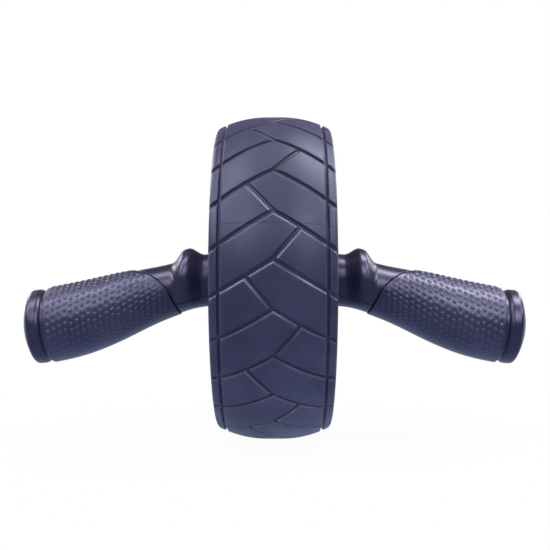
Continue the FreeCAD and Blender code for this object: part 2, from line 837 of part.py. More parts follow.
def make_handle_screw():
    """The screw that holds a lower cover, and the holes for its shank and its head."""
    across = f"({reach('waist')} + handle_screw_inset)"
    seat = f"({parting_height(across)} - handle_screw_seat)"
    under_head = f"({seat} - fit_clearance)"
    head_low = f"({under_head} - handle_screw_head_height)"
    length = "(handle_screw_seat + handle_screw_reach)"
    shank = rod("screw_shank", "handle_screw_diameter / 2", length, (across, "0", under_head))
    head = rod("screw_head", "handle_screw_head / 2", "handle_screw_head_height", (across, "0", head_low))
    screw = joined("handle_screw_right", [shank, head])
    shank_hole = rod(
        "shank_hole",
        "handle_screw_diameter / 2 + fit_clearance",
        f"{length} + loose_clearance",
        (across, "0", under_head),
    )
    head_hole = rod(
        "head_hole",
        "handle_screw_head / 2 + fit_clearance",
        str(CLEAR_OF_HANDLE),
        (across, "0", f"{seat} - {CLEAR_OF_HANDLE}"),
    )
    return lift(screw), shank_hole, head_hole


def make_handle():
    """The right handle's pieces."""
    shape = HandleShape()
    start = number(f"{reach('waist')} - seam_toe_reach - grip_thickness")
    core_gain = number("grip_step - grip_thickness")
    bore_gain = core_gain + number("fit_clearance")
    cavity_gain = core_gain - number("shell_wall")
    past_end = shape.end + number("loose_clearance")

    skin = shape.form("grip_form", start, shape.heel, GRIP_SPACING, number("grip_step"))
    bore = shape.form("grip_bore", start, shape.end, GRIP_SPACING, bore_gain)
    grip = lift(cut("grip_right", skin, bore, seam_block("grip_seam", "0")))

    run_in = shape.root - NECK_RUN_IN
    neck = shape.form("neck_form", run_in, number(reach("palm")), NECK_SPACING, stop=finger_stop)
    neck_end = common("neck_end", neck, seam_block("neck_seam", "-seam_gap"))
    core = shape.form("core_form", start, shape.end, GRIP_SPACING, core_gain)
    blank = joined("handle_blank", [neck_end, core])
    hollow_start = number(f"{reach('throat')} + hollow_inset")
    cavity = shape.form("cavity_form", hollow_start, past_end, GRIP_SPACING, cavity_gain)

    rim = shape.girth(shape.end) + core_gain
    seat_depth = number("spigot_length + loose_clearance")
    seat = document.addObject("Part::Cylinder", "cap_seat")
    seat.Radius = rim - number("spigot_shoulder - fit_clearance")
    seat.Height = 2 * seat_depth
    seat.Placement = shape.place(seat_depth) * Placement(Vector(), Rotation(Vector(0, 1, 0), 90))

    socket_length = f"{AXLE_END} + loose_clearance"
    socket = rod("axle_socket", SOCKET_RADIUS, socket_length, ("0", "0", "0"), Vector(1, 0, 0))
    pin, pin_hole = make_handle_pin()
    screw, shank_hole, head_hole = make_handle_screw()
    below = parting_block("below_parting", "0")
    shell = lift(cut("handle_shell_right", blank, below, cavity, seat, socket, pin_hole, shank_hole))
    lower = common("lower_blank", blank, parting_block("beneath_parting", "fit_clearance"))
    cover = lift(cut("handle_cover_right", lower, cavity, seat, shank_hole, head_hole))
    return [shell, cover, grip, screw, pin, make_end_cap(shape, rim)]


def make_end_cap(shape, rim):
    """A flared and domed cap with a hollow spigot, drawn from the handle's end outwards."""
    girth = f"({rim} + cap_girth_gain)"
    spigot = f"({rim} - spigot_shoulder)"
    inside = f"({spigot} - cap_wall)"
    land_end = "(fit_clearance + cap_flare + cap_land)"
    edge_across = f"({land_end} + cap_edge_round * sin(cap_edge_turn))"
    edge_up = f"({girth} - cap_edge_round * (1 - cos(cap_edge_turn)))"
    dome_rise = f"(cap_length - {edge_across})"
    dome = f"(({dome_rise} ^ 2 + {edge_up} ^ 2) / 2 / {dome_rise})"
    flare = "((cap_flare ^ 2 + cap_girth_gain ^ 2) / 2 / cap_girth_gain)"
    floor = f"({edge_across} - cap_wall)"
    corners = [
        ("-spigot_length", inside),
        ("-spigot_length", spigot),
        ("fit_clearance", spigot),
        ("fit_clearance", rim),
        ("fit_clearance + cap_flare", girth),
        (land_end, girth),
        (edge_across, edge_up),
        ("cap_length", "0"),
        (floor, "0"),
        (floor, inside),
    ]
    bows = {3: (flare, -1), 5: ("cap_edge_round", -1), 6: (dome, -1)}
    cap = turned("end_cap_right", corners, bows)
    cap.Placement = Placement(Vector(0, 0, number(TREAD_RADIUS)), Rotation()) * shape.place()
    return cap


def make_pieces():
    """Every piece of the roller."""
    pieces = [make_tyre(), make_rim("rim_right", 1), make_rim("rim_left", -1), make_rim_screws()]
    pieces += [make_axle(), make_arbor(), make_arbor_pin(), make_anchor_pin(), make_spring()]
    right_hand = [make_side_cover("side_cover_right"), make_bush("bush_right")]
    right_hand += [make_washer("thrust_washer_right")] + make_handle()
    document.recompute()
    left_hand = [mirrored(piece.Name.replace("_right", "_left"), piece) for piece in right_hand]
    return pieces + right_hand + left_hand


def check_and_write(pieces):
    """Stop at a failed object or a broken solid, and otherwise write one file for each piece."""
    document.recompute()
    failed = [thing.Name for thing in document.Objects if {"Invalid", "Error"} & set(thing.State)]
    if failed:
        raise RuntimeError(f"failed objects: {failed}")
    for piece in pieces:
        if piece.Shape.isNull() or not piece.Shape.isValid() or not piece.Shape.Solids:
            raise RuntimeError(f"broken solid: {piece.Name}")
    os.makedirs("parts", exist_ok=True)
    for piece in pieces:
        piece.Label = piece.Name
        piece.Shape.exportStep(f"parts/{piece.Label}.step")
        print(f"{piece.Label}: {len(piece.Shape.Solids)} solid, {piece.Shape.Volume / 1000:.2f} cm3")


document = FreeCAD.newDocument("ab_wheel_roller")
sheet = document.addObject("Spreadsheet::Sheet", "sizes")
for row, (size, value) in enumerate(SIZES.items(), start=1):
    sheet.set(f"A{row}", size)
    sheet.set(f"B{row}", str(value))
    sheet.setAlias(f"B{row}", size)
document.recompute()
check_and_write(make_pieces())
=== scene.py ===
"""An ab wheel roller: a wide treaded wheel between two drooping handles.

Sizes are in millimetres about the middle of the axle, unless a name says otherwise. Meshes are made in
metres in the frame's axes: X along the axle, Y away from the camera, Z up and the floor at zero.
"""

import logging
import math
from collections.abc import Callable, Sequence
from dataclasses import dataclass, field
from enum import Enum

import bpy
import numpy as np
from mathutils import Matrix, Vector
from mathutils.geometry import delaunay_2d_cdt


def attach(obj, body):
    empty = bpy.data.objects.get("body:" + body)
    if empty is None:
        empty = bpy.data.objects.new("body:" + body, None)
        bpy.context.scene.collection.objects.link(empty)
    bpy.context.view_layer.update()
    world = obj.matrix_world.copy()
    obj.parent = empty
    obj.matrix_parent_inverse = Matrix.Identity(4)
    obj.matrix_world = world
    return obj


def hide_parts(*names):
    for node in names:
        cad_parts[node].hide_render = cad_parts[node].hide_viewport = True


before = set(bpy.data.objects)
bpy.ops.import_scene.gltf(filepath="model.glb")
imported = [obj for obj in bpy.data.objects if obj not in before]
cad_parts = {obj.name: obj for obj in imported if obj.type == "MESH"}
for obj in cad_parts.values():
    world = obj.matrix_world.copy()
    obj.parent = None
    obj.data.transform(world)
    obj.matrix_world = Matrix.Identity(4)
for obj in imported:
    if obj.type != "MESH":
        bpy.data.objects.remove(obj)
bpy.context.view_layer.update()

log = logging.getLogger("ab_wheel_roller")

MM = 0.001
AXLE_HEIGHT = 95.0
NO_LENGTH = 1e-12
Colour = tuple[float, float, float]
Range = tuple[float, float]


class Body(Enum):
    """The bodies that pieces ride on."""

    HANDLES = "handles"
    WHEEL = "wheel"


class Side(Enum):
    """The two ends of the axle, with the sign of X there."""

    RIGHT = 1
    LEFT = -1

    def node(self, stem: str) -> str:
        """The name of this side's node."""
        return f"{stem}_{self.name.lower()}"


class Mark(Enum):
    """Values kept at the points of a mesh for its finish."""

    # Both marks also carry painted highlights: LIP on the tyre's sloped groove lips, DOME on the grip's
    # dots.
    LIP = "lip"
    DOME = "dome"


class Ray(Enum):
    """Kinds of rays that a surface can tell apart."""

    CAMERA = "Camera"
    DIFFUSE = "Diffuse"
    GLOSSY = "Glossy"
    TRANSMISSION = "Transmission"


# Shaders


class Wire:
    """An output socket. Arithmetic on it adds Math nodes to its shader."""

    def __init__(self, shader: "Shader", socket: bpy.types.NodeSocket) -> None:
        """Keep the socket and the shader that it belongs to."""
        self.shader = shader
        self.socket = socket

    def __add__(self, other: "Wire | float") -> "Wire":
        """This value plus another."""
        return self.shader.maths("ADD", self, other)

    def __radd__(self, other: float) -> "Wire":
        """A number plus this value."""
        return self.shader.maths("ADD", other, self)

    def __sub__(self, other: "Wire | float") -> "Wire":
        """This value less another."""
        return self.shader.maths("SUBTRACT", self, other)

    def __rsub__(self, other: float) -> "Wire":
        """A number less this value."""
        return self.shader.maths("SUBTRACT", other, self)

    def __mul__(self, other: "Wire | float") -> "Wire":
        """This value times another."""
        return self.shader.maths("MULTIPLY", self, other)

    def __rmul__(self, other: float) -> "Wire":
        """A number times this value."""
        return self.shader.maths("MULTIPLY", other, self)

    def __abs__(self) -> "Wire":
        """This value without its sign."""
        return self.shader.maths("ABSOLUTE", self)


class Shader:
    """A node tree written as expressions."""

    def __init__(self, tree: bpy.types.NodeTree) -> None:
        """Start from an empty tree."""
        self.tree = tree
        self.tree.nodes.clear()

    def node(
        self,
        kind: str,
        settings: dict[str, object] | None = None,
        sockets: dict[str | int, object] | None = None,
        output: str | int = 0,
    ) -> Wire:
        """Add a node.

        Args:
            kind: The node's type.
            settings: Properties, which are set before the sockets.
            sockets: Values or wires by the name or the index of an input.
            output: The output to return.

        Returns:
            That output.
        """
        made = self.tree.nodes.new(kind)
        for key, value in (settings or {}).items():
            setattr(made, key, value)
        for key, value in (sockets or {}).items():
            if isinstance(value, Wire):
                self.tree.links.new(value.socket, made.inputs[key])
            else:
                made.inputs[key].default_value = value
        return Wire(self, made.outputs[output]) if made.outputs else Wire(self, None)

    def maths(self, operation: str, *values: "Wire | float") -> Wire:
        """A Math node on values and wires."""
        return self.node("ShaderNodeMath", {"operation": operation}, dict(enumerate(values)))

    def place(self) -> Wire:
        """The place on the object, in its own axes in metres."""
        return self.node("ShaderNodeTexCoord", output="Object")

    def axis(self, letter: str, place: Wire | None = None) -> Wire:
        """One coordinate of a vector, or else of the place on the object."""
        return self.node("ShaderNodeSeparateXYZ", sockets={0: place or self.place()}, output=letter)

    def mark(self, mark: Mark) -> Wire:
        """A value kept at the mesh's points."""
        return self.node("ShaderNodeAttribute", {"attribute_name": mark.value}, output="Fac")

    def stretched(self, scale: Sequence[float]) -> Wire:
        """The place on the object, scaled along each axis."""
        sockets = {0: self.place(), 1: tuple(scale)}
        return self.node("ShaderNodeVectorMath", {"operation": "MULTIPLY"}, sockets)

    def noise(self, scale: float, detail: float = 2.0, place: Wire | None = None) -> Wire:
        """Soft noise from 0 to 1, with a number of patches to the metre."""
        sockets = {"Vector": place or self.place(), "Scale": scale, "Detail": detail}
        return self.node("ShaderNodeTexNoise", sockets=sockets)

    def spread(
        self, value: Wire, start: float, finish: float, low: float = 0.0, high: float = 1.0
    ) -> Wire:
        """A value eased from low at start to high at finish."""
        sockets = {0: value, 1: start, 2: finish, 3: low, 4: high}
        return self.node("ShaderNodeMapRange", {"interpolation_type": "SMOOTHSTEP"}, sockets)

    def blend(self, share: "Wire | float", low: "Wire | Colour", high: "Wire | Colour") -> Wire:
        """A colour between two colours.

        Args:
            share: How much of the second colour there is, from 0 to 1.
            low: The first colour.
            high: The second colour.

        Returns:
            The mixed colour.
        """
        ends = {6: low, 7: high}
        solid = {key: (*value, 1.0) for key, value in ends.items() if not isinstance(value, Wire)}
        settings = {"data_type": "RGBA", "clamp_factor": True}
        return self.node("ShaderNodeMix", settings, {0: share, **ends, **solid}, 2)

    def bump(self, height: Wire, depth: float, normal: Wire | None = None) -> Wire:
        """A normal roughened by a height from 0 to 1 that stands for a depth in millimetres."""
        sockets = {"Height": height, "Distance": depth * MM}
        return self.node("ShaderNodeBump", sockets=sockets | ({"Normal": normal} if normal else {}))

    def surface(self, sockets: dict[str | int, object]) -> None:
        """End the tree in one surface."""
        shade = self.node("ShaderNodeBsdfPrincipled", sockets=sockets)
        self.node("ShaderNodeOutputMaterial", sockets={"Surface": shade})


def new_material(name: str) -> tuple[bpy.types.Material, Shader]:
    """Start a material.

    Args:
        name: The material's name.

    Returns:
        The material and the shader that writes it.
    """
    material = bpy.data.materials.new(name)
    material.use_nodes = True
    return material, Shader(material.node_tree)


# Finishes


@dataclass(frozen=True)
class TyreRubber:
    """Charcoal rubber with a pale bloom, a painted highlight on the sloped lips of its grooves and a
    fine mould line.
    """

    name: str = "tyre_rubber"
    dark: Colour = (0.033, 0.0345, 0.084)
    pale: Colour = (0.051, 0.053, 0.12)
    # The lip colour is a painted highlight on the sloped groove lips; the dust specks also take this
    # colour.
    lip: Colour = (0.18, 0.175, 0.27)
    tint: Colour = (0.66, 0.64, 1.0)
    roughness: float = 0.42
    shine: float = 0.29
    bloom_scale: float = 34.0
    bloom_range: Range = (0.35, 0.68)
    bloom_rough: float = 0.06
    # Patches in which the painted lip highlight is stronger or weaker.
    lip_highlight_scale: float = 90.0
    lip_highlight_range: Range = (0.2, 0.8)
    lip_highlight_share: Range = (0.35, 0.85)
    lip_rough: float = 0.16
    speck_scale: float = 620.0
    speck_range: Range = (0.58, 0.72)
    speck_share: float = 0.06
    speck_rough: float = 0.08
    pebble_scale: float = 900.0
    pebble_height: float = 0.45
    grain_scale: float = 2400.0
    grain_height: float = 0.55
    grain_depth: float = 0.05
    grain_rough: float = 0.16
    line_angle: float = 15.6
    line_slant: float = 0.014
    line_width: float = 0.5
    line_shade: float = 0.3
    line_share: float = 0.8
    line_height: float = 0.8

    def mould_line(self, shader: Shader) -> Wire:
        """The line across the tread where the mould's halves met.

        Args:
            shader: The shader that the line is for.

        Returns:
            One on the line, falling to zero beside it.
        """
        turn = math.radians(self.line_angle)
        height = shader.axis("Z") - AXLE_HEIGHT * MM
        slant = shader.axis("X") * self.line_slant
        away = abs(shader.axis("Y") * math.sin(turn) + height * math.cos(turn) + slant)
        return shader.spread(away, 0.0, self.line_width * MM, 1.0, 0.0)

    def material(self) -> bpy.types.Material:
        """Write the finish.

        Returns:
            The material.
        """
        material, shader = new_material(self.name)
        bloom = shader.spread(shader.noise(self.bloom_scale, detail=3.0), *self.bloom_range)
        grain = shader.noise(self.grain_scale)
        speck = shader.spread(shader.noise(self.speck_scale, detail=3.0), *self.speck_range)
        lip = shader.mark(Mark.LIP)
        line = self.mould_line(shader)
        # Painted highlight: the sloped groove lips are painted paler, in patches.
        lip_highlight = lip * shader.spread(shader.noise(self.lip_highlight_scale), *self.lip_highlight_range, *self.lip_highlight_share)
        base = shader.blend(bloom, self.dark, self.pale)
        highlighted = shader.blend(lip_highlight, base, self.lip)
        dusty = shader.blend(speck * self.speck_share, highlighted, self.lip)
        shade = tuple(self.line_shade * part for part in self.dark)
        lined = shader.blend(line * self.line_share, dusty, shade)
        rough = self.roughness + (grain - 0.5) * self.grain_rough + speck * self.speck_rough
        rough = rough + (0.5 - bloom) * self.bloom_rough - lip * self.lip_rough
        height = grain * self.grain_height + shader.noise(self.pebble_scale) * self.pebble_height
        height = height - line * self.line_height
        shader.surface(
            {
                "Base Color": lined,
                "Roughness": rough,
                "Specular IOR Level": self.shine,
                "Specular Tint": (*self.tint, 1.0),
                "Normal": shader.bump(height, self.grain_depth),
            }
        )
        return material


@dataclass(frozen=True)
class GripRubber:
    """Soft rubber with a slight sheen, whose raised dots are more matt and painted paler, a painted
    highlight where light would catch their flanks.
    """

    name: str = "grip_rubber"
    dark: Colour = (0.021, 0.0215, 0.062)
    pale: Colour = (0.032, 0.0325, 0.084)
    # The dome colour is a painted highlight on the raised dots; the dust specks also take this colour.
    dome: Colour = (0.044, 0.0445, 0.098)
    tint: Colour = (0.68, 0.66, 1.0)
    roughness: float = 0.36
    shine: float = 0.55
    dot_highlight_share: float = 0.75
    dome_rough: float = 0.2
    cloud_scale: float = 48.0
    cloud_range: Range = (0.35, 0.66)
    dust_scale: float = 800.0
    dust_range: Range = (0.6, 0.75)
    dust_share: float = 0.12
    grain_scale: float = 3000.0
    grain_depth: float = 0.03
    grain_rough: float = 0.12

    def material(self) -> bpy.types.Material:
        """Write the finish.

        Returns:
            The material.
        """
        material, shader = new_material(self.name)
        cloud = shader.spread(shader.noise(self.cloud_scale, detail=3.0), *self.cloud_range)
        grain = shader.noise(self.grain_scale)
        dust = shader.spread(shader.noise(self.dust_scale), *self.dust_range)
        dome = shader.mark(Mark.DOME)
        base = shader.blend(cloud, self.dark, self.pale)
        # Painted highlight: the raised dots are painted paler than the sleeve.
        dotted = shader.blend(dome * self.dot_highlight_share, base, self.dome)
        dusty = shader.blend(dust * self.dust_share, dotted, self.dome)
        rough = self.roughness + (grain - 0.5) * self.grain_rough + dome * self.dome_rough
        shader.surface(
            {
                "Base Color": dusty,
                "Roughness": rough,
                "Specular IOR Level": self.shine,
                "Specular Tint": (*self.tint, 1.0),
                "Normal": shader.bump(grain, self.grain_depth),
            }
        )
        return material


@dataclass(frozen=True)
class Polished:
    """Hard glossy plastic with a slight ripple, smears and hairline scratches."""

    name: str = "polished_plastic"
    deep: Colour = (0.019, 0.0188, 0.05)
    haze: Colour = (0.028, 0.0275, 0.068)
    tint: Colour = (0.66, 0.64, 1.0)
    roughness: float = 0.31
    shine: float = 0.45
    smear_scale: float = 55.0
    smear_range: Range = (0.4, 0.72)
    smear_share: float = 0.7
    smear_rough: float = 0.07
    ripple_scale: float = 180.0
    ripple_height: float = 0.8
    ripple_depth: float = 0.012
    hair_scale: float = 60.0
    hair_stretch: tuple[float, float, float] = (3.0, 40.0, 40.0)
    hair_range: Range = (0.66, 0.72)
    hair_share: float = 0.15
    hair_height: float = 0.1
    hair_rough: float = 0.06

    def material(self) -> bpy.types.Material:
        """Write the finish.

        Returns:
            The material.
        """
        material, shader = new_material(self.name)
        smear = shader.spread(shader.noise(self.smear_scale, detail=4.0), *self.smear_range)
        ripple = shader.noise(self.ripple_scale, detail=1.0)
        strands = shader.noise(self.hair_scale, place=shader.stretched(self.hair_stretch))
        hair = shader.spread(strands, *self.hair_range)
        hazy = smear * self.smear_share + hair * self.hair_share
        colour = shader.blend(hazy, self.deep, self.haze)
        rough = self.roughness + smear * self.smear_rough + hair * self.hair_rough
        height = ripple * self.ripple_height + hair * self.hair_height
        shader.surface(
            {
                "Base Color": colour,
                "Roughness": rough,
                "Specular IOR Level": self.shine,
                "Specular Tint": (*self.tint, 1.0),
                "Normal": shader.bump(height, self.ripple_depth),
            }
        )
        return material


@dataclass(frozen=True)
class Moulded:
    """Plastic with the fine spark texture of its mould."""

    name: str
    colour: Colour
    roughness: float = 0.5
    depth: float = 0.045
    spark_scale: float = 1500.0
    spark_share: float = 0.3
    spark_rough: float = 0.2
    cloud_scale: float = 26.0
    cloud_range: Range = (0.3, 0.7)
    cloud_share: float = 0.6
    cloud_rough: float = 0.05
    fade: float = 1.35
    fade_lift: float = 0.004

    def material(self) -> bpy.types.Material:
        """Write the finish.

        Returns:
            The material.
        """
        material, shader = new_material(self.name)
        spark = shader.noise(self.spark_scale, detail=3.0)
        cloud = shader.spread(shader.noise(self.cloud_scale, detail=3.0), *self.cloud_range)
        pale = tuple(min(1.0, self.fade * part + self.fade_lift) for part in self.colour)
        faded = cloud * self.cloud_share + spark * self.spark_share
        colour = shader.blend(faded, self.colour, pale)
        rough = self.roughness + (spark - 0.5) * self.spark_rough + cloud * self.cloud_rough
        normal = shader.bump(spark, self.depth)
        shader.surface({"Base Color": colour, "Roughness": rough, "Normal": normal})
        return material


@dataclass(frozen=True)
class Metal:
    """Steel with fine marks that run round or along it."""

    name: str
    colour: Colour
    stain: Colour
    roughness: float = 0.32
    stretch: tuple[float, float, float] = (60.0, 2.0, 2.0)
    brush_scale: float = 40.0
    brush_depth: float = 0.01
    brush_share: float = 0.2
    brush_rough: float = 0.25
    cloud_scale: float = 70.0
    cloud_range: Range = (0.45, 0.75)
    cloud_share: float = 0.5
    cloud_rough: float = 0.1

    def material(self) -> bpy.types.Material:
        """Write the finish.

        Returns:
            The material.
        """
        material, shader = new_material(self.name)
        brush = shader.noise(self.brush_scale, 3.0, shader.stretched(self.stretch))
        cloud = shader.spread(shader.noise(self.cloud_scale, detail=3.0), *self.cloud_range)
        stained = cloud * self.cloud_share + brush * self.brush_share
        colour = shader.blend(stained, self.colour, self.stain)
        rough = self.roughness + (brush - 0.5) * self.brush_rough + cloud * self.cloud_rough
        shader.surface(
            {
                "Base Color": colour,
                "Metallic": 1.0,
                "Roughness": rough,
                "Normal": shader.bump(brush, self.brush_depth),
            }
        )
        return material


# Meshes


def ease(value: np.ndarray, start: float, finish: float) -> np.ndarray:
    """A smooth step from 0 at start to 1 at finish."""
    share = np.clip((value - start) / (finish - start), 0.0, 1.0)
    return share * share * (3.0 - 2.0 * share)


def bevel(value: np.ndarray, start: float, bend: float, finish: float, level: float) -> np.ndarray:
    """A fall from 1 at start, steep down to a level at bend, then a chamfer out to 0 at finish."""
    steep = 1.0 - (1.0 - level) * ease(value, start, bend)
    return np.where(value < bend, steep, level * np.clip((finish - value) / (finish - bend), 0.0, 1.0))


def unit(vectors: np.ndarray) -> np.ndarray:
    """The vectors at length one."""
    return vectors / np.maximum(np.linalg.norm(vectors, axis=-1, keepdims=True), NO_LENGTH)


def lip_drop(distance: np.ndarray, radius: float) -> np.ndarray:
    """How far a rounded edge falls away at a distance from it."""
    share = np.clip(1.0 - distance / radius, 0.0, 1.0)
    return radius * (1.0 - np.sqrt(np.maximum(1.0 - share * share, 0.0)))


@dataclass
class Skin:
    """A mesh in the making: points with their normals and marks, in millimetres, and faces."""

    points: list[np.ndarray] = field(default_factory=list)
    normals: list[np.ndarray] = field(default_factory=list)
    marks: list[np.ndarray] = field(default_factory=list)
    faces: list[np.ndarray] = field(default_factory=list)
    count: int = 0
    weld: float = 0.002
    least_area: float = 1e-9
    least_radius: float = 1e-4

    def add(
        self,
        points: np.ndarray,
        normals: np.ndarray,
        faces: np.ndarray,
        marks: np.ndarray | None = None,
    ) -> None:
        """Take in a patch.

        Args:
            points: Places, one to a row.
            normals: A normal for each point.
            faces: Indices of triangles or quads, one face to a row.
            marks: A value for each point, or none for zero.
        """
        self.points.append(points)
        self.normals.append(normals)
        self.marks.append(np.zeros(len(points)) if marks is None else marks)
        self.faces.append(faces + self.count)
        self.count += len(points)

    def sheet(self, grid: np.ndarray, closed: bool = False) -> None:
        """Take in a grid of points whose normals follow its own slopes.

        Args:
            grid: Points by row and column. The surface faces rows crossed with columns.
            closed: Whether the last column joins the first.
        """
        rows, columns = grid.shape[:2]
        down = np.gradient(grid, axis=0)
        if closed:
            across = np.roll(grid, -1, axis=1) - np.roll(grid, 1, axis=1)
        else:
            across = np.gradient(grid, axis=1)
        normals = np.cross(down, across)
        flat = np.linalg.norm(normals, axis=-1) < self.least_area
        if flat.any():
            whole = unit(normals[~flat].mean(axis=0)) if (~flat).any() else np.array([1.0, 0.0, 0.0])
            normals[flat] = whole
        row, column = np.meshgrid(
            np.arange(rows - 1), np.arange(columns if closed else columns - 1), indexing="ij"
        )
        beside = (column + 1) % columns
        corners = [(row, column), (row + 1, column), (row + 1, beside), (row, beside)]
        faces = np.stack([(r * columns + c).ravel() for r, c in corners], axis=1)
        self.add(grid.reshape(-1, 3), unit(normals).reshape(-1, 3), faces)

    def turned(self, runs: Sequence[Sequence[tuple[float, float]]], angles: np.ndarray) -> None:
        """Take in outlines turned about the X axis.

        Args:
            runs: Smooth stretches of the outline, each a list of places along X and radii.
            angles: The angles of the columns, which go all the way round.
        """
        for run in runs:
            outline = np.asarray(run, float)
            radius = np.maximum(outline[:, 1], self.least_radius)[:, None]
            along = np.repeat(outline[:, :1], len(angles), axis=1)
            ring = np.stack([along, -radius * np.cos(angles), -radius * np.sin(angles)], axis=-1)
            self.sheet(ring, closed=True)

    def triangles(self) -> np.ndarray:
        """Cut the quads up.

        Returns:
            The corners of every triangle, one to a row.
        """
        halves = []
        for patch in self.faces:
            halves.append(patch[:, :3])
            if patch.shape[1] == 4:
                halves.append(patch[:, [0, 2, 3]])
        return np.concatenate(halves)

    def build(
        self, name: str, moved: Callable[[np.ndarray], np.ndarray], mark: Mark | None = None
    ) -> bpy.types.Object:
        """Weld the patches into an object.

        Args:
            name: The object's name.
            moved: Takes points, or directions from the origin, to their final axes in millimetres.
            mark: The name for the marks, if they are kept.

        Returns:
            The object, linked to the scene, with its faces outwards.
        """
        origin = moved(np.zeros((1, 3)))
        places = moved(np.concatenate(self.points)) * MM
        normals = unit(moved(np.concatenate(self.normals)) - origin)
        marks = np.concatenate(self.marks)
        cells = np.round(places / (self.weld * MM)).astype(np.int64)
        _, first, shared = np.unique(cells, axis=0, return_index=True, return_inverse=True)
        shared, places = shared.ravel(), places[first]
        corners = self.triangles()
        welded = shared[corners]
        whole = (welded != np.roll(welded, 1, axis=1)).all(axis=1)
        corners, welded = corners[whole], welded[whole]
        first_edge = places[welded[:, 1]] - places[welded[:, 0]]
        facing = np.cross(first_edge, places[welded[:, 2]] - places[welded[:, 0]])
        if np.sum(places[welded[:, 0]] * facing) < 0:
            corners, welded, facing = corners[:, ::-1], welded[:, ::-1], -facing
        loop_normals = normals[corners]
        turned_in = np.einsum("ijk,ik->ij", loop_normals, facing) < 0
        loop_normals[turned_in] *= -1.0
        mesh = bpy.data.meshes.new(name)
        mesh.from_pydata(places.tolist(), [], welded.tolist())
        mesh.polygons.foreach_set("use_smooth", [True] * len(mesh.polygons))
        mesh.normals_split_custom_set(loop_normals.reshape(-1, 3).tolist())
        if mark:
            mesh.attributes.new(mark.value, "FLOAT", "POINT").data.foreach_set("value", marks[first])
        mesh.update()
        made = bpy.data.objects.new(name, mesh)
        bpy.context.scene.collection.objects.link(made)
        return made


def placed(side: Side, matrix: Matrix | None = None) -> Callable[[np.ndarray], np.ndarray]:
    """A move from a right-hand piece's own axes to the frame.

    Args:
        side: The side that the piece is for; the left one is mirrored.
        matrix: Where the piece's axes stand about the middle of the axle, or none if they are its axes.

    Returns:
        A function that moves points.
    """
    turn = np.array(matrix.to_3x3()) if matrix else np.eye(3)
    shift = np.array(matrix.translation) if matrix else np.zeros(3)

    def move(points: np.ndarray) -> np.ndarray:
        """The points in the frame, in millimetres."""
        done = points @ turn.T + shift
        return done * np.array([side.value, 1.0, 1.0]) + np.array([0.0, 0.0, AXLE_HEIGHT])

    return move


@dataclass
class Pattern:
    """A flat pattern that repeats along its first axis, cut into triangles along drawn lines."""

    start: float
    period: float
    places: list[tuple[float, float]] = field(default_factory=list)
    edges: list[tuple[int, int]] = field(default_factory=list)
    margin: float = 1.0
    merge: float = 1e-4
    end_reach: float = 1e-3
    twin_reach: float = 0.02

    def line(self, points: np.ndarray, closed: bool = False, repeated: bool = True) -> None:
        """Draw a line through points, and again one period to each side.

        Args:
            points: Places along and across the pattern.
            closed: Whether the last point joins the first.
            repeated: Whether the line is drawn in the neighbouring periods too.
        """
        for copy in (-1, 0, 1) if repeated else (0,):
            shifted = points + np.array([copy * self.period, 0.0])
            low, high = shifted[:, 0].min(), shifted[:, 0].max()
            if high < self.start - self.margin or low > self.start + self.period + self.margin:
                continue
            first = len(self.places)
            self.places.extend(map(tuple, shifted))
            count = len(shifted)
            self.edges.extend((first + k, first + k + 1) for k in range(count - 1))
            if closed:
                self.edges.append((first + count - 1, first))

    def dots(self, points: np.ndarray) -> None:
        """Put in single points."""
        self.places.extend(map(tuple, points))

    def triangles(self, inside: Callable[[np.ndarray], np.ndarray]) -> tuple[np.ndarray, np.ndarray]:
        """Cut the pattern up.

        Args:
            inside: Tells for places whether they belong to the pattern across its width.

        Returns:
            The points and the triangles of one period, whose two ends match.
        """
        drawn = [Vector(place) for place in self.places]
        points, _, faces, *_ = delaunay_2d_cdt(drawn, self.edges, [], 0, self.merge)
        cut = np.array([tuple(p) for p in points])
        tris = np.array([face for face in faces if len(face) == 3])
        middle = cut[tris].mean(axis=1)
        finish = self.start + self.period
        keep = (middle[:, 0] > self.start) & (middle[:, 0] < finish) & inside(middle)
        near = np.nonzero(np.abs(cut[:, 0] - self.start) < self.end_reach)[0]
        far = np.nonzero(np.abs(cut[:, 0] - finish) < self.end_reach)[0]
        cut[near, 0] = self.start
        cut[far, 0] = finish
        for index in far:
            twin = near[np.argmin(np.abs(cut[near, 1] - cut[index, 1]))]
            if abs(cut[twin, 1] - cut[index, 1]) < self.twin_reach:
                cut[index, 1] = cut[twin, 1]
        return cut, tris[keep]


def slopes(
    surface: Callable[[np.ndarray], np.ndarray], flat: np.ndarray, step: float = 0.03
) -> np.ndarray:
    """Normals of a surface over a flat pattern.

    Args:
        surface: Takes places on the pattern to points.
        flat: The places.
        step: How far apart the slope is measured.

    Returns:
        A normal for each place.
    """
    along = surface(flat + [step, 0.0]) - surface(flat - [step, 0.0])
    across = surface(flat + [0.0, step]) - surface(flat - [0.0, step])
    return unit(np.cross(along, across))


# Wheel


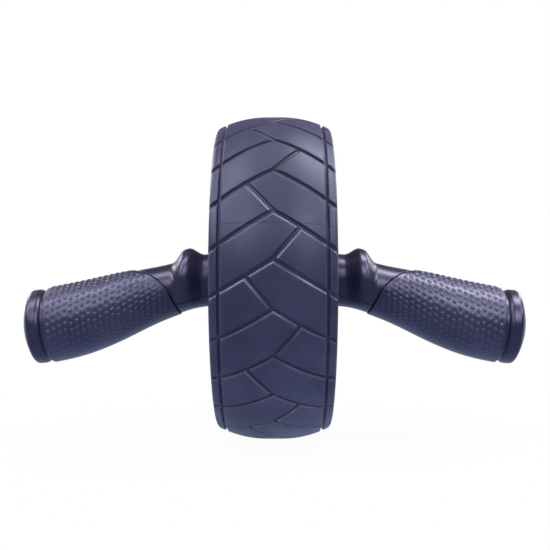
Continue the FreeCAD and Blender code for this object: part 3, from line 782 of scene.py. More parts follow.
@dataclass
class Tyre:
    """A crowned tread with chevrons, short links and two ring grooves, over rounded shoulders."""

    radius: float = 95.0
    half_width: float = 32.5
    crown_flat: float = 4.0
    crown_radius: float = 62.0
    shoulder: float = 3.5
    wall_foot: float = 81.05
    foot_chamfer: float = 0.5
    foot_row: float = 1.6
    seat_half: float = 29.75
    seat_radius: float = 78.05
    chevrons: int = 24
    first_apex: float = -4.28
    arm_slope: float = 31.2
    link_reach: float = 14.0
    ring_groove: float = 27.25
    groove_depth: float = 1.8
    groove_top: float = -1.7
    groove_wall: float = -1.3
    groove_floor: float = 0.0
    groove_bend: float = 0.45
    groove_mouth: float = 1.55
    lip_level: float = 0.42
    lip_middle: float = 1.0
    lip_width: float = 0.5
    lip_depths: Range = (0.5, 0.8)
    lip_end: float = 0.5
    cut_start: float = 1.0
    cut_end: float = 0.3
    ring_scale: float = 0.7
    line_end: float = 0.6
    spacing: float = 2.5
    shoulder_lines: int = 6
    land_spacing: float = 3.0
    land_half: float = 33.0
    land_clear: float = 1.0
    lead: float = 9.0
    steps: tuple[float, ...] = (-1.95, -1.7, -1.5, -1.3, 0.0, 0.22, 0.45, 0.7, 0.95, 1.25, 1.55, 1.8)

    def __post_init__(self) -> None:
        """Work out where the crown, the shoulders and the chevrons meet."""
        reach = self.crown_radius - self.shoulder
        self.turn_middle = self.half_width - self.shoulder
        self.turn_lean = math.asin((self.turn_middle - self.crown_flat) / reach)
        self.turn_radius = self.radius - self.crown_radius + reach * math.cos(self.turn_lean)
        self.turn_start = self.crown_flat + self.crown_radius * math.sin(self.turn_lean)
        self.edge = self.turn_start + self.shoulder * (math.pi / 2 - self.turn_lean)
        self.pitch = 2 * math.pi * self.radius / self.chevrons
        self.apex = math.radians(self.first_apex) * self.radius
        self.slope = math.radians(self.arm_slope)
        self.link_rise = self.pitch - self.link_reach * math.tan(self.slope)

    def profile(self, across: np.ndarray) -> tuple[np.ndarray, np.ndarray, np.ndarray]:
        """The plain tread's outline.

        Args:
            across: Places across the tread, from shoulder to shoulder.

        Returns:
            The place along X, the radius, and the lean of the surface away from the axle.
        """
        out = np.abs(across)
        steepest = math.sin(self.turn_lean)
        lean = np.arcsin(np.clip((out - self.crown_flat) / self.crown_radius, 0.0, steepest))
        turned = self.turn_lean + np.maximum(out - self.turn_start, 0.0) / self.shoulder
        on_turn = out > self.turn_start
        along = np.where(on_turn, self.turn_middle + self.shoulder * np.sin(turned), out)
        crown = self.radius - self.crown_radius * (1.0 - np.cos(lean))
        radius = np.where(on_turn, self.turn_radius + self.shoulder * np.cos(turned), crown)
        lean = np.where(on_turn, turned, lean)
        side = np.where(across < 0, -1.0, 1.0)
        return along * side, radius, lean * side

    def groove_sides(self, flat: np.ndarray) -> np.ndarray:
        """How far places on the developed tread are from the grooves about them.

        Args:
            flat: Places as a run along the tread and a place across it.

        Returns:
            A row of distances for each groove, below zero on the side of its steep wall.
        """
        along, across = flat[:, 0] - self.apex, flat[:, 1]
        out = np.abs(across)
        found = [(self.ring_groove - out) / self.ring_scale]
        first = np.floor(along / self.pitch)
        length = math.hypot(self.link_reach, self.link_rise)
        side, up = self.link_reach / length, -self.link_rise / length
        level, fall = math.cos(self.slope), math.sin(self.slope)
        for step in (-1, 0, 1):
            index = first + step
            down = along - index * self.pitch
            reach = np.maximum(out * level + down * fall, 0.0)
            arm = np.hypot(out - reach * level, down - reach * fall)
            found.append(np.copysign(arm, down * level - out * fall))
            inward = across * np.where(np.mod(index, 2) == 0, 1.0, -1.0)
            run = np.clip(inward * side + down * up, 0.0, length)
            link = np.hypot(inward - run * side, down - run * up)
            found.append(np.copysign(link, down * side - inward * up))
        return np.array(found)

    def groove_cut(self, sides: np.ndarray) -> np.ndarray:
        """How deep the deepest groove is at each place.

        Args:
            sides: Distances from the grooves.

        Returns:
            Shares of the full depth.
        """
        wall = ease(sides, self.groove_top, self.groove_wall)
        slope = bevel(sides, self.groove_floor, self.groove_bend, self.groove_mouth, self.lip_level)
        return np.max(np.minimum(wall, slope), axis=0)

    def highlighted_lips(self, sides: np.ndarray) -> np.ndarray:
        """How much each place lies on the sloped lip of a groove, where the lip's highlight is painted.
        """
        lips = np.max(np.exp(-(((sides - self.lip_middle) / self.lip_width) ** 2)), axis=0)
        return lips * (1.0 - ease(self.groove_cut(sides), *self.lip_depths))

    def surface(self, flat: np.ndarray) -> np.ndarray:
        """Points of the tread.

        Args:
            flat: Places on the developed tread.

        Returns:
            The points about the middle of the axle.
        """
        along, radius, lean = self.profile(flat[:, 1])
        start, finish = self.turn_start + self.cut_start, self.edge - self.cut_end
        fade = 1.0 - ease(np.abs(flat[:, 1]), start, finish)
        depth = self.groove_depth * self.groove_cut(self.groove_sides(flat)) * fade
        turn = flat[:, 0] / self.radius
        radius = radius - depth * np.cos(lean)
        return np.stack(
            [along - depth * np.sin(lean), -radius * np.cos(turn), -radius * np.sin(turn)], axis=-1
        )

    def groove_lines(self, pattern: Pattern) -> None:
        """Draw the lines that the walls of the grooves follow.

        Args:
            pattern: The tread laid flat, which gets the lines.
        """
        arm = np.array([math.sin(self.slope), math.cos(self.slope)])
        reach = (self.edge - self.line_end) / math.cos(self.slope)
        link_length = math.hypot(self.link_reach, self.link_rise)
        link = np.array([-self.link_rise, self.link_reach]) / link_length
        for index in range(2):
            apex = np.array([self.apex + index * self.pitch, 0.0])
            hand = 1.0 if index == 0 else -1.0
            runs = [(arm * [1.0, mirror], reach) for mirror in (1.0, -1.0)]
            runs.append((link * [1.0, hand], link_length + self.line_end))
            for way, length in runs:
                beside = np.array([-way[1], way[0]]) * -np.sign(way[1])
                places = np.linspace(-self.line_end, length, int(length / self.spacing) + 1)[:, None]
                for shift in self.steps:
                    pattern.line(apex + places * way + shift * beside)

    def pattern(self) -> Pattern:
        """Lay two chevrons of the tread flat.

        Returns:
            The pattern, with every line and point that its mesh needs.
        """
        pattern = Pattern(self.apex - self.lead, 2 * self.pitch)
        finish = pattern.start + pattern.period
        self.groove_lines(pattern)
        even = np.linspace(pattern.start, finish, int(pattern.period / self.spacing) + 1)
        outs = [self.ring_groove - self.ring_scale * step for step in self.steps]
        outs += list(np.linspace(self.turn_start, self.edge, self.shoulder_lines))
        for ring in [sign * out for out in outs for sign in (1, -1)]:
            pattern.line(np.stack([even, np.full_like(even, ring)], axis=1), repeated=False)
        for end in (pattern.start, finish):
            rungs = np.linspace(-self.edge, self.edge, int(2 * self.edge / self.spacing) + 1)
            pattern.line(np.stack([np.full_like(rungs, end), rungs], axis=1), repeated=False)
        runs = np.arange(pattern.start + self.land_spacing / 2, finish, self.land_spacing)
        columns = np.arange(-self.land_half, self.land_half + self.land_spacing / 2, self.land_spacing)
        land = np.stack(np.meshgrid(runs, columns), axis=-1).reshape(-1, 2)
        clear = np.min(np.abs(self.groove_sides(land)), axis=0)
        pattern.dots(land[clear > self.groove_mouth + self.land_clear])
        return pattern

    def build(self) -> bpy.types.Object:
        """Make the whole tyre, tread and seat.

        Returns:
            The tyre.
        """
        skin = Skin()
        pattern = self.pattern()
        flat, triangles = pattern.triangles(lambda places: np.abs(places[:, 1]) < self.edge)
        # The mask of the painted lip highlight, faded out over the shoulders.
        fade = 1.0 - ease(np.abs(flat[:, 1]), self.turn_start, self.edge - self.lip_end)
        lips = self.highlighted_lips(self.groove_sides(flat)) * fade
        for copy in range(self.chevrons // 2):
            shifted = flat + [copy * pattern.period, 0.0]
            skin.add(self.surface(shifted), slopes(self.surface, shifted), triangles[:, ::-1], lips)
        count = int(pattern.period / self.spacing) * self.chevrons // 2
        angles = pattern.start / self.radius + np.arange(count) * 2 * math.pi / count
        out, high, foot, cut = self.half_width, self.turn_radius, self.wall_foot, self.foot_chamfer
        half = [
            [(out, high), (out, foot + self.foot_row), (out, foot + cut)],
            [(out, foot + cut), (out - cut, foot)],
            [(out - cut, foot), (self.seat_half, foot)],
            [(self.seat_half, foot), (self.seat_half, self.seat_radius)],
            [(self.seat_half, self.seat_radius), (0.0, self.seat_radius)],
        ]
        skin.turned(half, angles)
        skin.turned([[(-x, r) for x, r in reversed(run)] for run in reversed(half)], angles)
        made = skin.build("tyre_tread", placed(Side.RIGHT), Mark.LIP)
        made.data.materials.append(TyreRubber().material())
        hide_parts("tyre")
        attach(made, Body.WHEEL.value)
        return made


def dress(node: str, material: bpy.types.Material) -> None:
    """Give a CAD node a material.

    Args:
        node: The node's name.
        material: Its finish.
    """
    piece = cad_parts[node]
    piece.data.materials.clear()
    piece.data.materials.append(material)
    log.info("%s: %s", node, material.name)


@dataclass
class WheelBody:
    """What carries the tyre: rims, side covers, bushes and their fixings."""

    rim: Moulded = Moulded("rim_plastic", (0.023, 0.024, 0.047), 0.46)
    cover: Moulded = Moulded("side_cover_plastic", (0.019, 0.0195, 0.04), 0.42, 0.06)
    acetal: Moulded = Moulded("bush_acetal", (0.55, 0.54, 0.5), 0.38, 0.015)
    screw: Metal = Metal("screw_black_zinc", (0.16, 0.16, 0.17), (0.07, 0.07, 0.075), 0.4)
    pin: Metal = Metal("ground_pin", (0.5, 0.5, 0.52), (0.3, 0.3, 0.31), 0.28)

    def dress(self) -> None:
        """Give each piece its finish."""
        rim, cover, acetal = self.rim.material(), self.cover.material(), self.acetal.material()
        dress("rim_screws", self.screw.material())
        dress("spring_anchor_pin", self.pin.material())
        for side in Side:
            dress(side.node("rim"), rim)
            dress(side.node("side_cover"), cover)
            dress(side.node("bush"), acetal)


@dataclass
class SpringDrive:
    """The axle and what is on it, with the pins and screws of the handles."""

    axle: Metal = Metal("axle_steel", (0.52, 0.53, 0.55), (0.36, 0.36, 0.37), 0.3, (2.0, 60.0, 60.0))
    spring: Metal = Metal("spring_steel", (0.2, 0.21, 0.24), (0.09, 0.1, 0.14), 0.36, (60.0, 1.0, 1.0))
    pin: Metal = Metal("handle_pin_steel", (0.5, 0.5, 0.52), (0.3, 0.3, 0.31), 0.28)
    screw: Metal = Metal("handle_screw_steel", (0.2, 0.2, 0.21), (0.1, 0.1, 0.1), 0.4)
    arbor: Moulded = Moulded("arbor_nylon", (0.03, 0.03, 0.034), 0.5)
    washer: Moulded = Moulded("washer_nylon", (0.42, 0.42, 0.4), 0.45, 0.02)

    def dress(self) -> None:
        """Give each piece its finish."""
        pin, screw, washer = self.pin.material(), self.screw.material(), self.washer.material()
        dress("axle", self.axle.material())
        dress("return_spring", self.spring.material())
        dress("spring_arbor", self.arbor.material())
        dress("arbor_pin", pin)
        for side in Side:
            dress(side.node("handle_pin"), pin)
            dress(side.node("handle_screw"), screw)
            dress(side.node("thrust_washer"), washer)


# Handles


@dataclass(frozen=True)
class HandleForm:
    """The outside of a handle: its centre line, girth, finger stop, seam and parting plane."""

    stations: tuple[float, ...] = (32.85, 45.95, 59.95, 69.95, 87.95, 105.95, 119.95, 133.45)
    drops: tuple[float, ...] = (0.9, 2.2, 6.5, 9.7, 15.7, 21.7, 25.4, 28.2)
    gains: tuple[float, ...] = (0.0, 0.0, 0.0, 0.8, 3.4, 5.2, 5.9, 5.95)
    neck_radius: float = 15.7
    end: float = 135.45
    end_tilt: float = 5.0
    stop_start: float = 41.45
    stop_rise: float = 10.0
    stop_crest: float = 2.0
    stop_fall: float = 7.0
    stop_height: float = 5.8
    toe: tuple[float, float] = (50.95, -31.4)
    knee: tuple[float, float] = (61.95, -8.5)
    top: tuple[float, float] = (84.95, 4.9)
    bow_radius: float = 30.0
    top_lean: float = 9.0 / 55.1
    parting_drop: float = 0.7
    parting_slope: float = 14.8
    search_inset: float = 1.0
    halvings: int = 40

    @property
    def root(self) -> float:
        """Where the handle starts beside the wheel."""
        return self.stations[0]

    @property
    def heel(self) -> float:
        """Where the grip ends."""
        return self.stations[-1]

    def line(self, values: Sequence[float], station: np.ndarray) -> np.ndarray:
        """A natural cubic line through one value at each station.

        Args:
            values: The values at the stations.
            station: Where the line is read, held to the root and carried on straight past the heel.

        Returns:
            The line's values.
        """
        knots, known = np.array(self.stations), np.array(values)
        gap = np.diff(knots)
        rise = np.diff(known) / gap
        count = len(knots)
        system, load = np.eye(count), np.zeros(count)
        for k in range(1, count - 1):
            system[k, k - 1 : k + 2] = gap[k - 1], 2 * (gap[k - 1] + gap[k]), gap[k]
            load[k] = 6 * (rise[k] - rise[k - 1])
        bend = np.linalg.solve(system, load)
        place = np.clip(station, knots[0], knots[-1])
        k = np.clip(np.searchsorted(knots, place, side="right") - 1, 0, count - 2)
        left, right = place - knots[k], knots[k + 1] - place
        value = (bend[k] * right**3 + bend[k + 1] * left**3) / (6 * gap[k])
        value += (known[k] / gap[k] - bend[k] * gap[k] / 6) * right
        value += (known[k + 1] / gap[k] - bend[k + 1] * gap[k] / 6) * left
        leaving = rise[-1] + gap[-1] * bend[-2] / 6
        return value + np.maximum(station - knots[-1], 0.0) * leaving

    def stop(self, station: np.ndarray) -> np.ndarray:
        """Height of the finger stop over the neck.

        Args:
            station: Places along the handle.

        Returns:
            The heights.
        """
        fall = self.stop_start + self.stop_rise + self.stop_crest
        up = ease(station, self.stop_start, self.stop_start + self.stop_rise)
        return self.stop_height * (up - ease(station, fall, fall + self.stop_fall))

    def lean(self, station: np.ndarray) -> np.ndarray:
        """Lean of a section, in radians."""
        return math.radians(self.end_tilt) * (station - self.root) / (self.heel - self.root)

    def girth(self, station: np.ndarray) -> np.ndarray:
        """Radius of the neck and of the line that the grip and the core follow."""
        return self.neck_radius + self.line(self.gains, station)

    def point(
        self, station: np.ndarray, angle: np.ndarray, gain: np.ndarray | float, stop: bool
    ) -> np.ndarray:
        """Points on the handle.

        Args:
            station: Places along the handle.
            angle: Angles about its centre line, from the top.
            gain: Height over the girth.
            stop: Whether the finger stop is added.

        Returns:
            The points about the middle of the axle.
        """
        raised = self.stop(station) / 2 if stop else 0.0
        radius = self.girth(station) + gain + raised
        lean = self.lean(station)
        up = radius * np.cos(angle)
        return np.stack(
            [
                station + up * np.sin(lean),
                -radius * np.sin(angle),
                raised - self.line(self.drops, station) + up * np.cos(lean),
            ],
            axis=-1,
        )

    def bow_middle(self) -> tuple[float, float]:
        """The middle of the seam's round, which runs from the knee to the top.

        Returns:
            Its place along X and its height over the axle.
        """
        (start, low), (finish, high) = self.knee, self.top
        half = math.hypot(finish - start, high - low) / 2
        away = math.sqrt(self.bow_radius**2 - half**2) / (2 * half)
        return (start + finish) / 2 + (high - low) * away, (low + high) / 2 - (finish - start) * away

    def seam_reach(self, height: np.ndarray) -> np.ndarray:
        """How far out the seam between neck and grip is, seen from the front.

        Args:
            height: Heights over the axle.

        Returns:
            Places along X.
        """
        (foot, base), (bend, rise) = self.toe, self.knee
        low = foot + (height - base) * (bend - foot) / (rise - base)
        middle, level = self.bow_middle()
        inner = np.clip(height, self.knee[1], self.top[1]) - level
        bow = middle - np.sqrt(self.bow_radius**2 - inner**2)
        high = self.top[0] + (height - self.top[1]) * self.top_lean
        reach = np.where(height < self.knee[1], np.maximum(low, self.toe[0]), bow)
        return np.where(height > self.top[1], high, reach)

    def seam(self, angle: np.ndarray, gain: float, shift: float) -> np.ndarray:
        """Stations where a surface meets the seam.

        Args:
            angle: Angles about the centre line.
            gain: Height of the surface over the girth.
            shift: How far past the seam the edge lies.

        Returns:
            The stations.
        """
        low = np.full_like(angle, self.root + self.search_inset)
        high = np.full_like(angle, self.heel)
        for _ in range(self.halvings):
            middle = (low + high) / 2
            place = self.point(middle, angle, gain, False)
            past = place[..., 0] > self.seam_reach(place[..., 2]) + shift
            high = np.where(past, middle, high)
            low = np.where(past, low, middle)
        return (low + high) / 2

    def parting(self, station: np.ndarray, gain: np.ndarray | float, stop: bool) -> np.ndarray:
        """Angle from the top at which a section meets the parting plane.

        Args:
            station: Places along the handle.
            gain: Height of the surface over the girth.
            stop: Whether the finger stop is added.

        Returns:
            The angles.
        """
        fall = math.tan(math.radians(self.parting_slope))
        raised = self.stop(station) / 2 if stop else 0.0
        radius = self.girth(station) + gain + raised
        lean = self.lean(station)
        level = self.line(self.drops, station) - raised - self.parting_drop - fall * station
        return np.arccos(np.clip(level / (radius * (np.cos(lean) + fall * np.sin(lean))), -1.0, 1.0))

    def end_place(self) -> Matrix:
        """Where the end cap stands.

        Returns:
            The cap's axes, with X outwards.
        """
        end = np.array(self.end)
        middle = Vector((self.end, 0.0, -float(self.line(self.drops, end))))
        return Matrix.Translation(middle) @ Matrix.Rotation(float(self.lean(end)), 4, "Y")


def finish_piece(
    made: bpy.types.Object, material: bpy.types.Material, node: str
) -> bpy.types.Object:
    """Dress a handle's piece and let it stand for its node.

    Args:
        made: The piece.
        material: Its finish.
        node: The CAD node that it replaces.

    Returns:
        The piece.
    """
    made.data.materials.append(material)
    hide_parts(node)
    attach(made, Body.HANDLES.value)
    log.info("%s: %d faces for %s", made.name, len(made.data.polygons), node)
    return made


@dataclass
class Grip:
    """A rubber sleeve with rows of raised dots and rounded lips."""

    form: HandleForm
    side: Side
    step: float = 0.75
    core_gap: float = -1.4
    lip: float = 0.7
    ring_pitch: float = 3.37
    ring_inset: float = 2.9
    around: int = 36
    row_fall: float = 0.9
    row_jump: float = 1.95
    row_group: int = 4
    dot_radius: float = 1.4
    dot_height: float = 0.48
    dot_flat: float = 0.42
    dot_sides: int = 10
    dot_rings: tuple[tuple[float, int], ...] = ((1.0, 1), (0.66, 1), (0.33, 2))
    edge_margin: float = 2.3
    edge_fade: float = 0.3
    seam_fade: Range = (-6.0, 16.0)
    bare_below: Range = (-0.6, -0.95)
    lip_lines: tuple[float, ...] = (0.0, 0.06, 0.2, 0.42, 0.7)
    spread: float = 20.0
    columns: int = 144
    seam_finer: int = 5
    rungs: int = 40
    inner_rows: int = 12

    def __post_init__(self) -> None:
        """Work out the seam once, all round."""
        self.turns = np.linspace(-math.pi, math.pi, self.seam_finer * self.columns + 1)
        self.seams = self.form.seam(self.turns, self.step, 0.0)

    def seam(self, angle: np.ndarray) -> np.ndarray:
        """Stations of the grip's slanted end."""
        return np.interp(np.mod(angle + math.pi, 2 * math.pi) - math.pi, self.turns, self.seams)

    def ring(self, station: np.ndarray) -> np.ndarray:
        """The number of the nearest ring of dots, counted from the heel."""
        return np.round((self.form.heel - self.ring_inset - station) / self.ring_pitch)

    def ring_turn(self, ring: np.ndarray) -> np.ndarray:
        """Angle of a ring's first dot. The rings step down and jump back, so that rows look level.

        Args:
            ring: Numbers of rings, counted from the heel.

        Returns:
            The angles about the centre line.
        """
        station = self.form.heel - self.ring_inset - ring * self.ring_pitch
        shift = self.row_fall * ring - self.row_jump * np.floor(ring / self.row_group)
        return math.pi / 2 - shift / self.form.girth(station)

    def dome(self, angle: np.ndarray, station: np.ndarray) -> np.ndarray:
        """How high the dots stand at places on the sleeve.

        Args:
            angle: Angles about the centre line.
            station: Places along the handle.

        Returns:
            Shares of a dot's full height.
        """
        ring = self.ring(station)
        middle = self.form.heel - self.ring_inset - ring * self.ring_pitch
        pitch = 2 * math.pi / self.around
        turn = angle - self.ring_turn(ring)
        off = turn - pitch * np.round(turn / pitch)
        away = np.hypot(station - middle, off * self.form.girth(station))
        inside = middle - self.seam(angle - off)
        faded = ease(inside, self.edge_margin - self.edge_fade, self.edge_margin)
        shown = faded * ease(inside, *self.seam_fade) * (ring >= 0)
        below = 1.0 - ease(np.cos(angle - off), *self.bare_below)
        return shown * below * (1.0 - ease(away / self.dot_radius, self.dot_flat, 1.0))

    def surface(self, flat: np.ndarray) -> np.ndarray:
        """Points of the sleeve's outside.

        Args:
            flat: Places on the sleeve laid flat.

        Returns:
            The points about the middle of the axle.
        """
        angle, station = flat[:, 0] / self.spread, flat[:, 1]
        edge = np.minimum(station - self.seam(angle), self.form.heel - station)
        gain = self.step + self.dot_height * self.dome(angle, station) - lip_drop(edge, self.lip)
        return self.form.point(station, angle, gain, False)

    def pattern(self) -> Pattern:
        """Lay the sleeve flat.

        Returns:
            The pattern, with every dot and both lips.
        """
        form = self.form
        pattern = Pattern(-math.pi * self.spread, 2 * math.pi * self.spread)
        angles = np.linspace(-math.pi, math.pi, self.columns + 1)
        seam = self.seam(angles)
        for inset in self.lip_lines:
            pattern.line(np.stack([angles * self.spread, seam + inset], axis=1), repeated=False)
            heel = np.full_like(angles, form.heel - inset)
            pattern.line(np.stack([angles * self.spread, heel], axis=1), repeated=False)
        rungs = np.linspace(seam[0], form.heel, self.rungs)
        for end in (-math.pi, math.pi):
            edge = np.full_like(rungs, end * self.spread)
            pattern.line(np.stack([edge, rungs], axis=1), repeated=False)
        turns = np.linspace(0.0, 2 * math.pi, self.dot_sides + 1)[:-1]
        rings = int((form.heel - seam.min()) / self.ring_pitch)
        for ring in range(rings):
            station = form.heel - self.ring_inset - ring * self.ring_pitch
            first = float(self.ring_turn(np.array(float(ring))))
            girth = float(form.girth(np.array(station)))
            for index in range(self.around):
                angle = (first + index * 2 * math.pi / self.around + math.pi) % (2 * math.pi) - math.pi
                if station - float(self.seam(np.array(angle))) < self.edge_margin:
                    continue
                middle = np.array([angle * self.spread, station])
                wide = np.array([self.spread / girth, 1.0])
                for share, skip in self.dot_rings:
                    circle = np.stack([np.cos(turns[::skip]), np.sin(turns[::skip])], axis=1)
                    pattern.line(middle + share * self.dot_radius * circle * wide, closed=True)
                for copy in (-1, 0, 1):
                    pattern.dots((middle + [copy * pattern.period, 0.0])[None, :])
        return pattern

    def build(self, material: bpy.types.Material) -> bpy.types.Object:
        """Make the sleeve, closed along its inside.

        Args:
            material: Its finish.

        Returns:
            The grip.
        """
        skin = Skin()
        form = self.form
        pattern = self.pattern()

        def inside(places: np.ndarray) -> np.ndarray:
            """Whether places lie between the seam and the heel."""
            return (places[:, 1] > self.seam(places[:, 0] / self.spread)) & (places[:, 1] < form.heel)

        flat, triangles = pattern.triangles(inside)
        used, triangles = np.unique(triangles, return_inverse=True)
        triangles = triangles.reshape(-1, 3)
        flat = flat[used]
        # The dots' heights also mark where the painted highlight on the dots goes.
        domes = self.dome(flat[:, 0] / self.spread, flat[:, 1])
        skin.add(self.surface(flat), slopes(self.surface, flat), triangles, domes)
        angles = np.linspace(-math.pi, math.pi, self.columns + 1)
        seam = self.seam(angles)
        heel = np.full_like(angles, form.heel)
        edges = [form.point(end, angles, self.step - self.lip, False) for end in (seam, heel)]
        inner = [form.point(end, angles, self.core_gap, False) for end in (seam, heel)]
        skin.sheet(np.stack([inner[0], edges[0]]))
        skin.sheet(np.stack([edges[1], inner[1]]))
        shares = np.linspace(1.0, 0.0, self.inner_rows)[:, None]
        stations = seam + shares * (heel - seam)
        skin.sheet(form.point(stations, np.broadcast_to(angles, stations.shape), self.core_gap, False))
        made = skin.build(self.side.node("dotted_grip"), placed(self.side), Mark.DOME)
        return finish_piece(made, material, self.side.node("grip"))


@dataclass
class Panel:
    """One half of a handle's hard body: the neck beside the wheel and the core under the grip."""

    form: HandleForm
    side: Side
    upper: bool
    core: float = -1.45
    wall: float = 3.2
    core_relief: float = 1.0
    lip: float = 0.55
    gap: float = 0.3
    seam_gap: float = 0.3
    core_reach: float = 12.0
    collar_length: float = 8.0
    fine: tuple[float, ...] = (0.0, 0.03, 0.1, 0.22, 0.38, 0.55, 1.0)
    rows: int = 34
    row_length: float = 40.0
    columns: int = 60
    column_length: float = 70.0
    rounds: int = 8
    core_rows: int = 10
    collar_columns: int = 48

    @property
    def core_back(self) -> float:
        """Height of the core's inner face over the girth."""
        return self.core - self.wall + self.core_relief

    def share(self, count: int, length: float) -> np.ndarray:
        """Shares of a length, close together at both ends.

        Args:
            count: How many points the even middle part has, with its two ends.
            length: The length.

        Returns:
            The shares, from 0 to 1.
        """
        ends = np.array(self.fine) / length
        between = np.linspace(ends[-1], 1.0 - ends[-1], count)[1:-1]
        return np.concatenate([ends, between, 1.0 - ends[::-1]])

    def angles(
        self, across: np.ndarray, station: np.ndarray, gain: np.ndarray | float, stop: bool
    ) -> np.ndarray:
        """Angles from one parting edge to the other.

        Args:
            across: Shares of the way, from -1 to 1.
            station: Places along the handle.
            gain: Height of the surface over the girth.
            stop: Whether the finger stop is added.

        Returns:
            Angles about the centre line, from the top.
        """
        edge = self.form.parting(station, gain, stop)
        if self.upper:
            return edge * across
        slack = self.gap / self.form.girth(station)
        return math.pi + (math.pi - edge - slack) * across

    def neck(self) -> tuple[np.ndarray, np.ndarray]:
        """Lay out the neck, row by row out from the wheel.

        Returns:
            The stations and the angles of its points.
        """
        form = self.form
        rows = self.share(self.rows, self.row_length)[:, None]
        across = (2.0 * self.share(self.columns, self.column_length) - 1.0)[None, :]
        guess = form.root + self.row_length / 2 * rows
        station = np.broadcast_to(guess, (rows.size, across.size))
        for _ in range(self.rounds):
            angle = self.angles(across, station, 0.0, True)
            station = form.root + rows * (form.seam(angle, 0.0, -self.seam_gap) - form.root)
        return station, angle

    def collar(self, skin: Skin, edge: float) -> None:
        """Close the core to a full ring at the handle's end.

        Args:
            skin: The panel's mesh, which gets the ring's lower part.
            edge: The angle from the top at which the core's upper part ends.
        """
        angles = np.linspace(edge, 2 * math.pi - edge, self.collar_columns)[None, :]
        stations = np.array([self.form.end - self.collar_length, self.form.end])[:, None]
        grid = np.broadcast_arrays(stations, angles)
        outer = self.form.point(*grid, self.core, False)
        inner = self.form.point(*grid, self.core_back, False)
        skin.sheet(outer)
        skin.sheet(inner[:, ::-1])
        skin.sheet(np.stack([inner[0], outer[0]]))
        skin.sheet(np.stack([outer[1], inner[1]]))
        skin.sheet(np.stack([outer[:, -1], inner[:, -1]], axis=1))
        skin.sheet(np.stack([inner[:, 0], outer[:, 0]], axis=1))

    def build(self, material: bpy.types.Material) -> bpy.types.Object:
        """Make the panel as a closed shell.

        Args:
            material: Its finish.

        Returns:
            The panel.
        """
        form = self.form
        station, angle = self.neck()
        edge = form.parting(station, 0.0, True)
        half = edge if self.upper else math.pi - edge
        middle, slack = (0.0, 0.0) if self.upper else (math.pi, self.gap)
        beside = (half - np.abs(angle - middle)) * form.girth(station) - slack
        ends = np.minimum(station - form.root, station[-1:] - station)
        drop = lip_drop(np.minimum(np.maximum(beside, 0.0), ends), self.lip)
        neck = form.point(station, angle, -drop, True)
        reach = form.end if self.upper else station[-1] + self.core_reach
        shares = np.linspace(0.0, 1.0, self.core_rows)[:, None]
        core_station = station[-1] + shares * (reach - station[-1])
        core_angle = np.broadcast_to(angle[-1], core_station.shape)
        core = form.point(core_station, core_angle, self.core, False)
        neck_inside = form.point(station, angle, -self.wall, True)
        core_inside = form.point(core_station, core_angle, self.core_back, False)
        skin = Skin()
        outside = [neck, np.stack([neck[-1], core[0]]), core]
        inside = [neck_inside, np.stack([neck_inside[-1], core_inside[0]]), core_inside]
        for sheet, back in zip(outside, inside):
            skin.sheet(sheet)
            skin.sheet(back[:, ::-1])
            skin.sheet(np.stack([sheet[:, -1], back[:, -1]], axis=1))
            skin.sheet(np.stack([back[:, 0], sheet[:, 0]], axis=1))
        skin.sheet(np.stack([neck_inside[0], neck[0]]))
        skin.sheet(np.stack([core[-1], core_inside[-1]]))
        if self.upper:
            self.collar(skin, float(core_angle[-1, -1]))
        piece, node = "neck_lower", "handle_cover"
        if self.upper:
            piece, node = "neck_upper", "handle_shell"
        made = skin.build(self.side.node(piece), placed(self.side))
        return finish_piece(made, material, self.side.node(node))


@dataclass
class EndCap:
    """A flared, domed cap on the end of a handle."""

    form: HandleForm
    side: Side
    gap: float = 0.05
    rim: float = 20.2
    girth: float = 22.1
    flare: float = 3.5
    land: float = 2.5
    edge_round: float = 2.5
    edge_turn: float = 60.0
    length: float = 13.5
    spigot: float = 16.2
    spigot_length: float = 7.0
    columns: int = 128
    land_point: float = 0.4
    flare_points: int = 12
    edge_points: int = 22
    dome_points: int = 24

    def arc(
        self, middle: tuple[float, float], radius: float, start: float, finish: float, count: int
    ) -> list[tuple[float, float]]:
        """Points on an arc, with angles in degrees from straight out towards the end."""
        turns = np.radians(np.linspace(start, finish, count))
        return [(middle[0] + radius * math.sin(t), middle[1] + radius * math.cos(t)) for t in turns]

    def build(self, material: bpy.types.Material) -> bpy.types.Object:
        """Make the cap as a closed turned form.

        Args:
            material: Its finish.

        Returns:
            The cap.
        """
        rise = self.girth - self.rim
        flare_radius = (self.flare**2 + rise**2) / (2 * rise)
        flare_turn = math.degrees(math.asin(self.flare / flare_radius))
        land_start = self.gap + self.flare
        land_end = land_start + self.land
        flare_middle = (land_start, self.girth - flare_radius)
        flare = self.arc(flare_middle, flare_radius, -flare_turn, 0.0, self.flare_points)
        edge_middle = (land_end, self.girth - self.edge_round)
        edge = self.arc(edge_middle, self.edge_round, 0.0, self.edge_turn, self.edge_points)
        across, up = edge[-1]
        rise_left = self.length - across
        dome_radius = (up**2 + rise_left**2) / (2 * rise_left)
        dome_turn = math.degrees(math.asin(up / dome_radius))
        dome_middle = (self.length - dome_radius, 0.0)
        dome = self.arc(dome_middle, dome_radius, 90.0 - dome_turn, 90.0, self.dome_points)
        runs = [
            [(-self.spigot_length, 0.0), (-self.spigot_length, self.spigot)],
            [(-self.spigot_length, self.spigot), (self.gap, self.spigot)],
            [(self.gap, self.spigot), (self.gap, self.rim)],
            flare + [(land_start + self.land_point * self.land, self.girth)] + edge,
            dome,
        ]
        skin = Skin()
        skin.turned(runs, np.linspace(0.0, 2 * math.pi, self.columns, endpoint=False))
        made = skin.build(self.side.node("domed_cap"), placed(self.side, self.form.end_place()))
        return finish_piece(made, material, self.side.node("end_cap"))


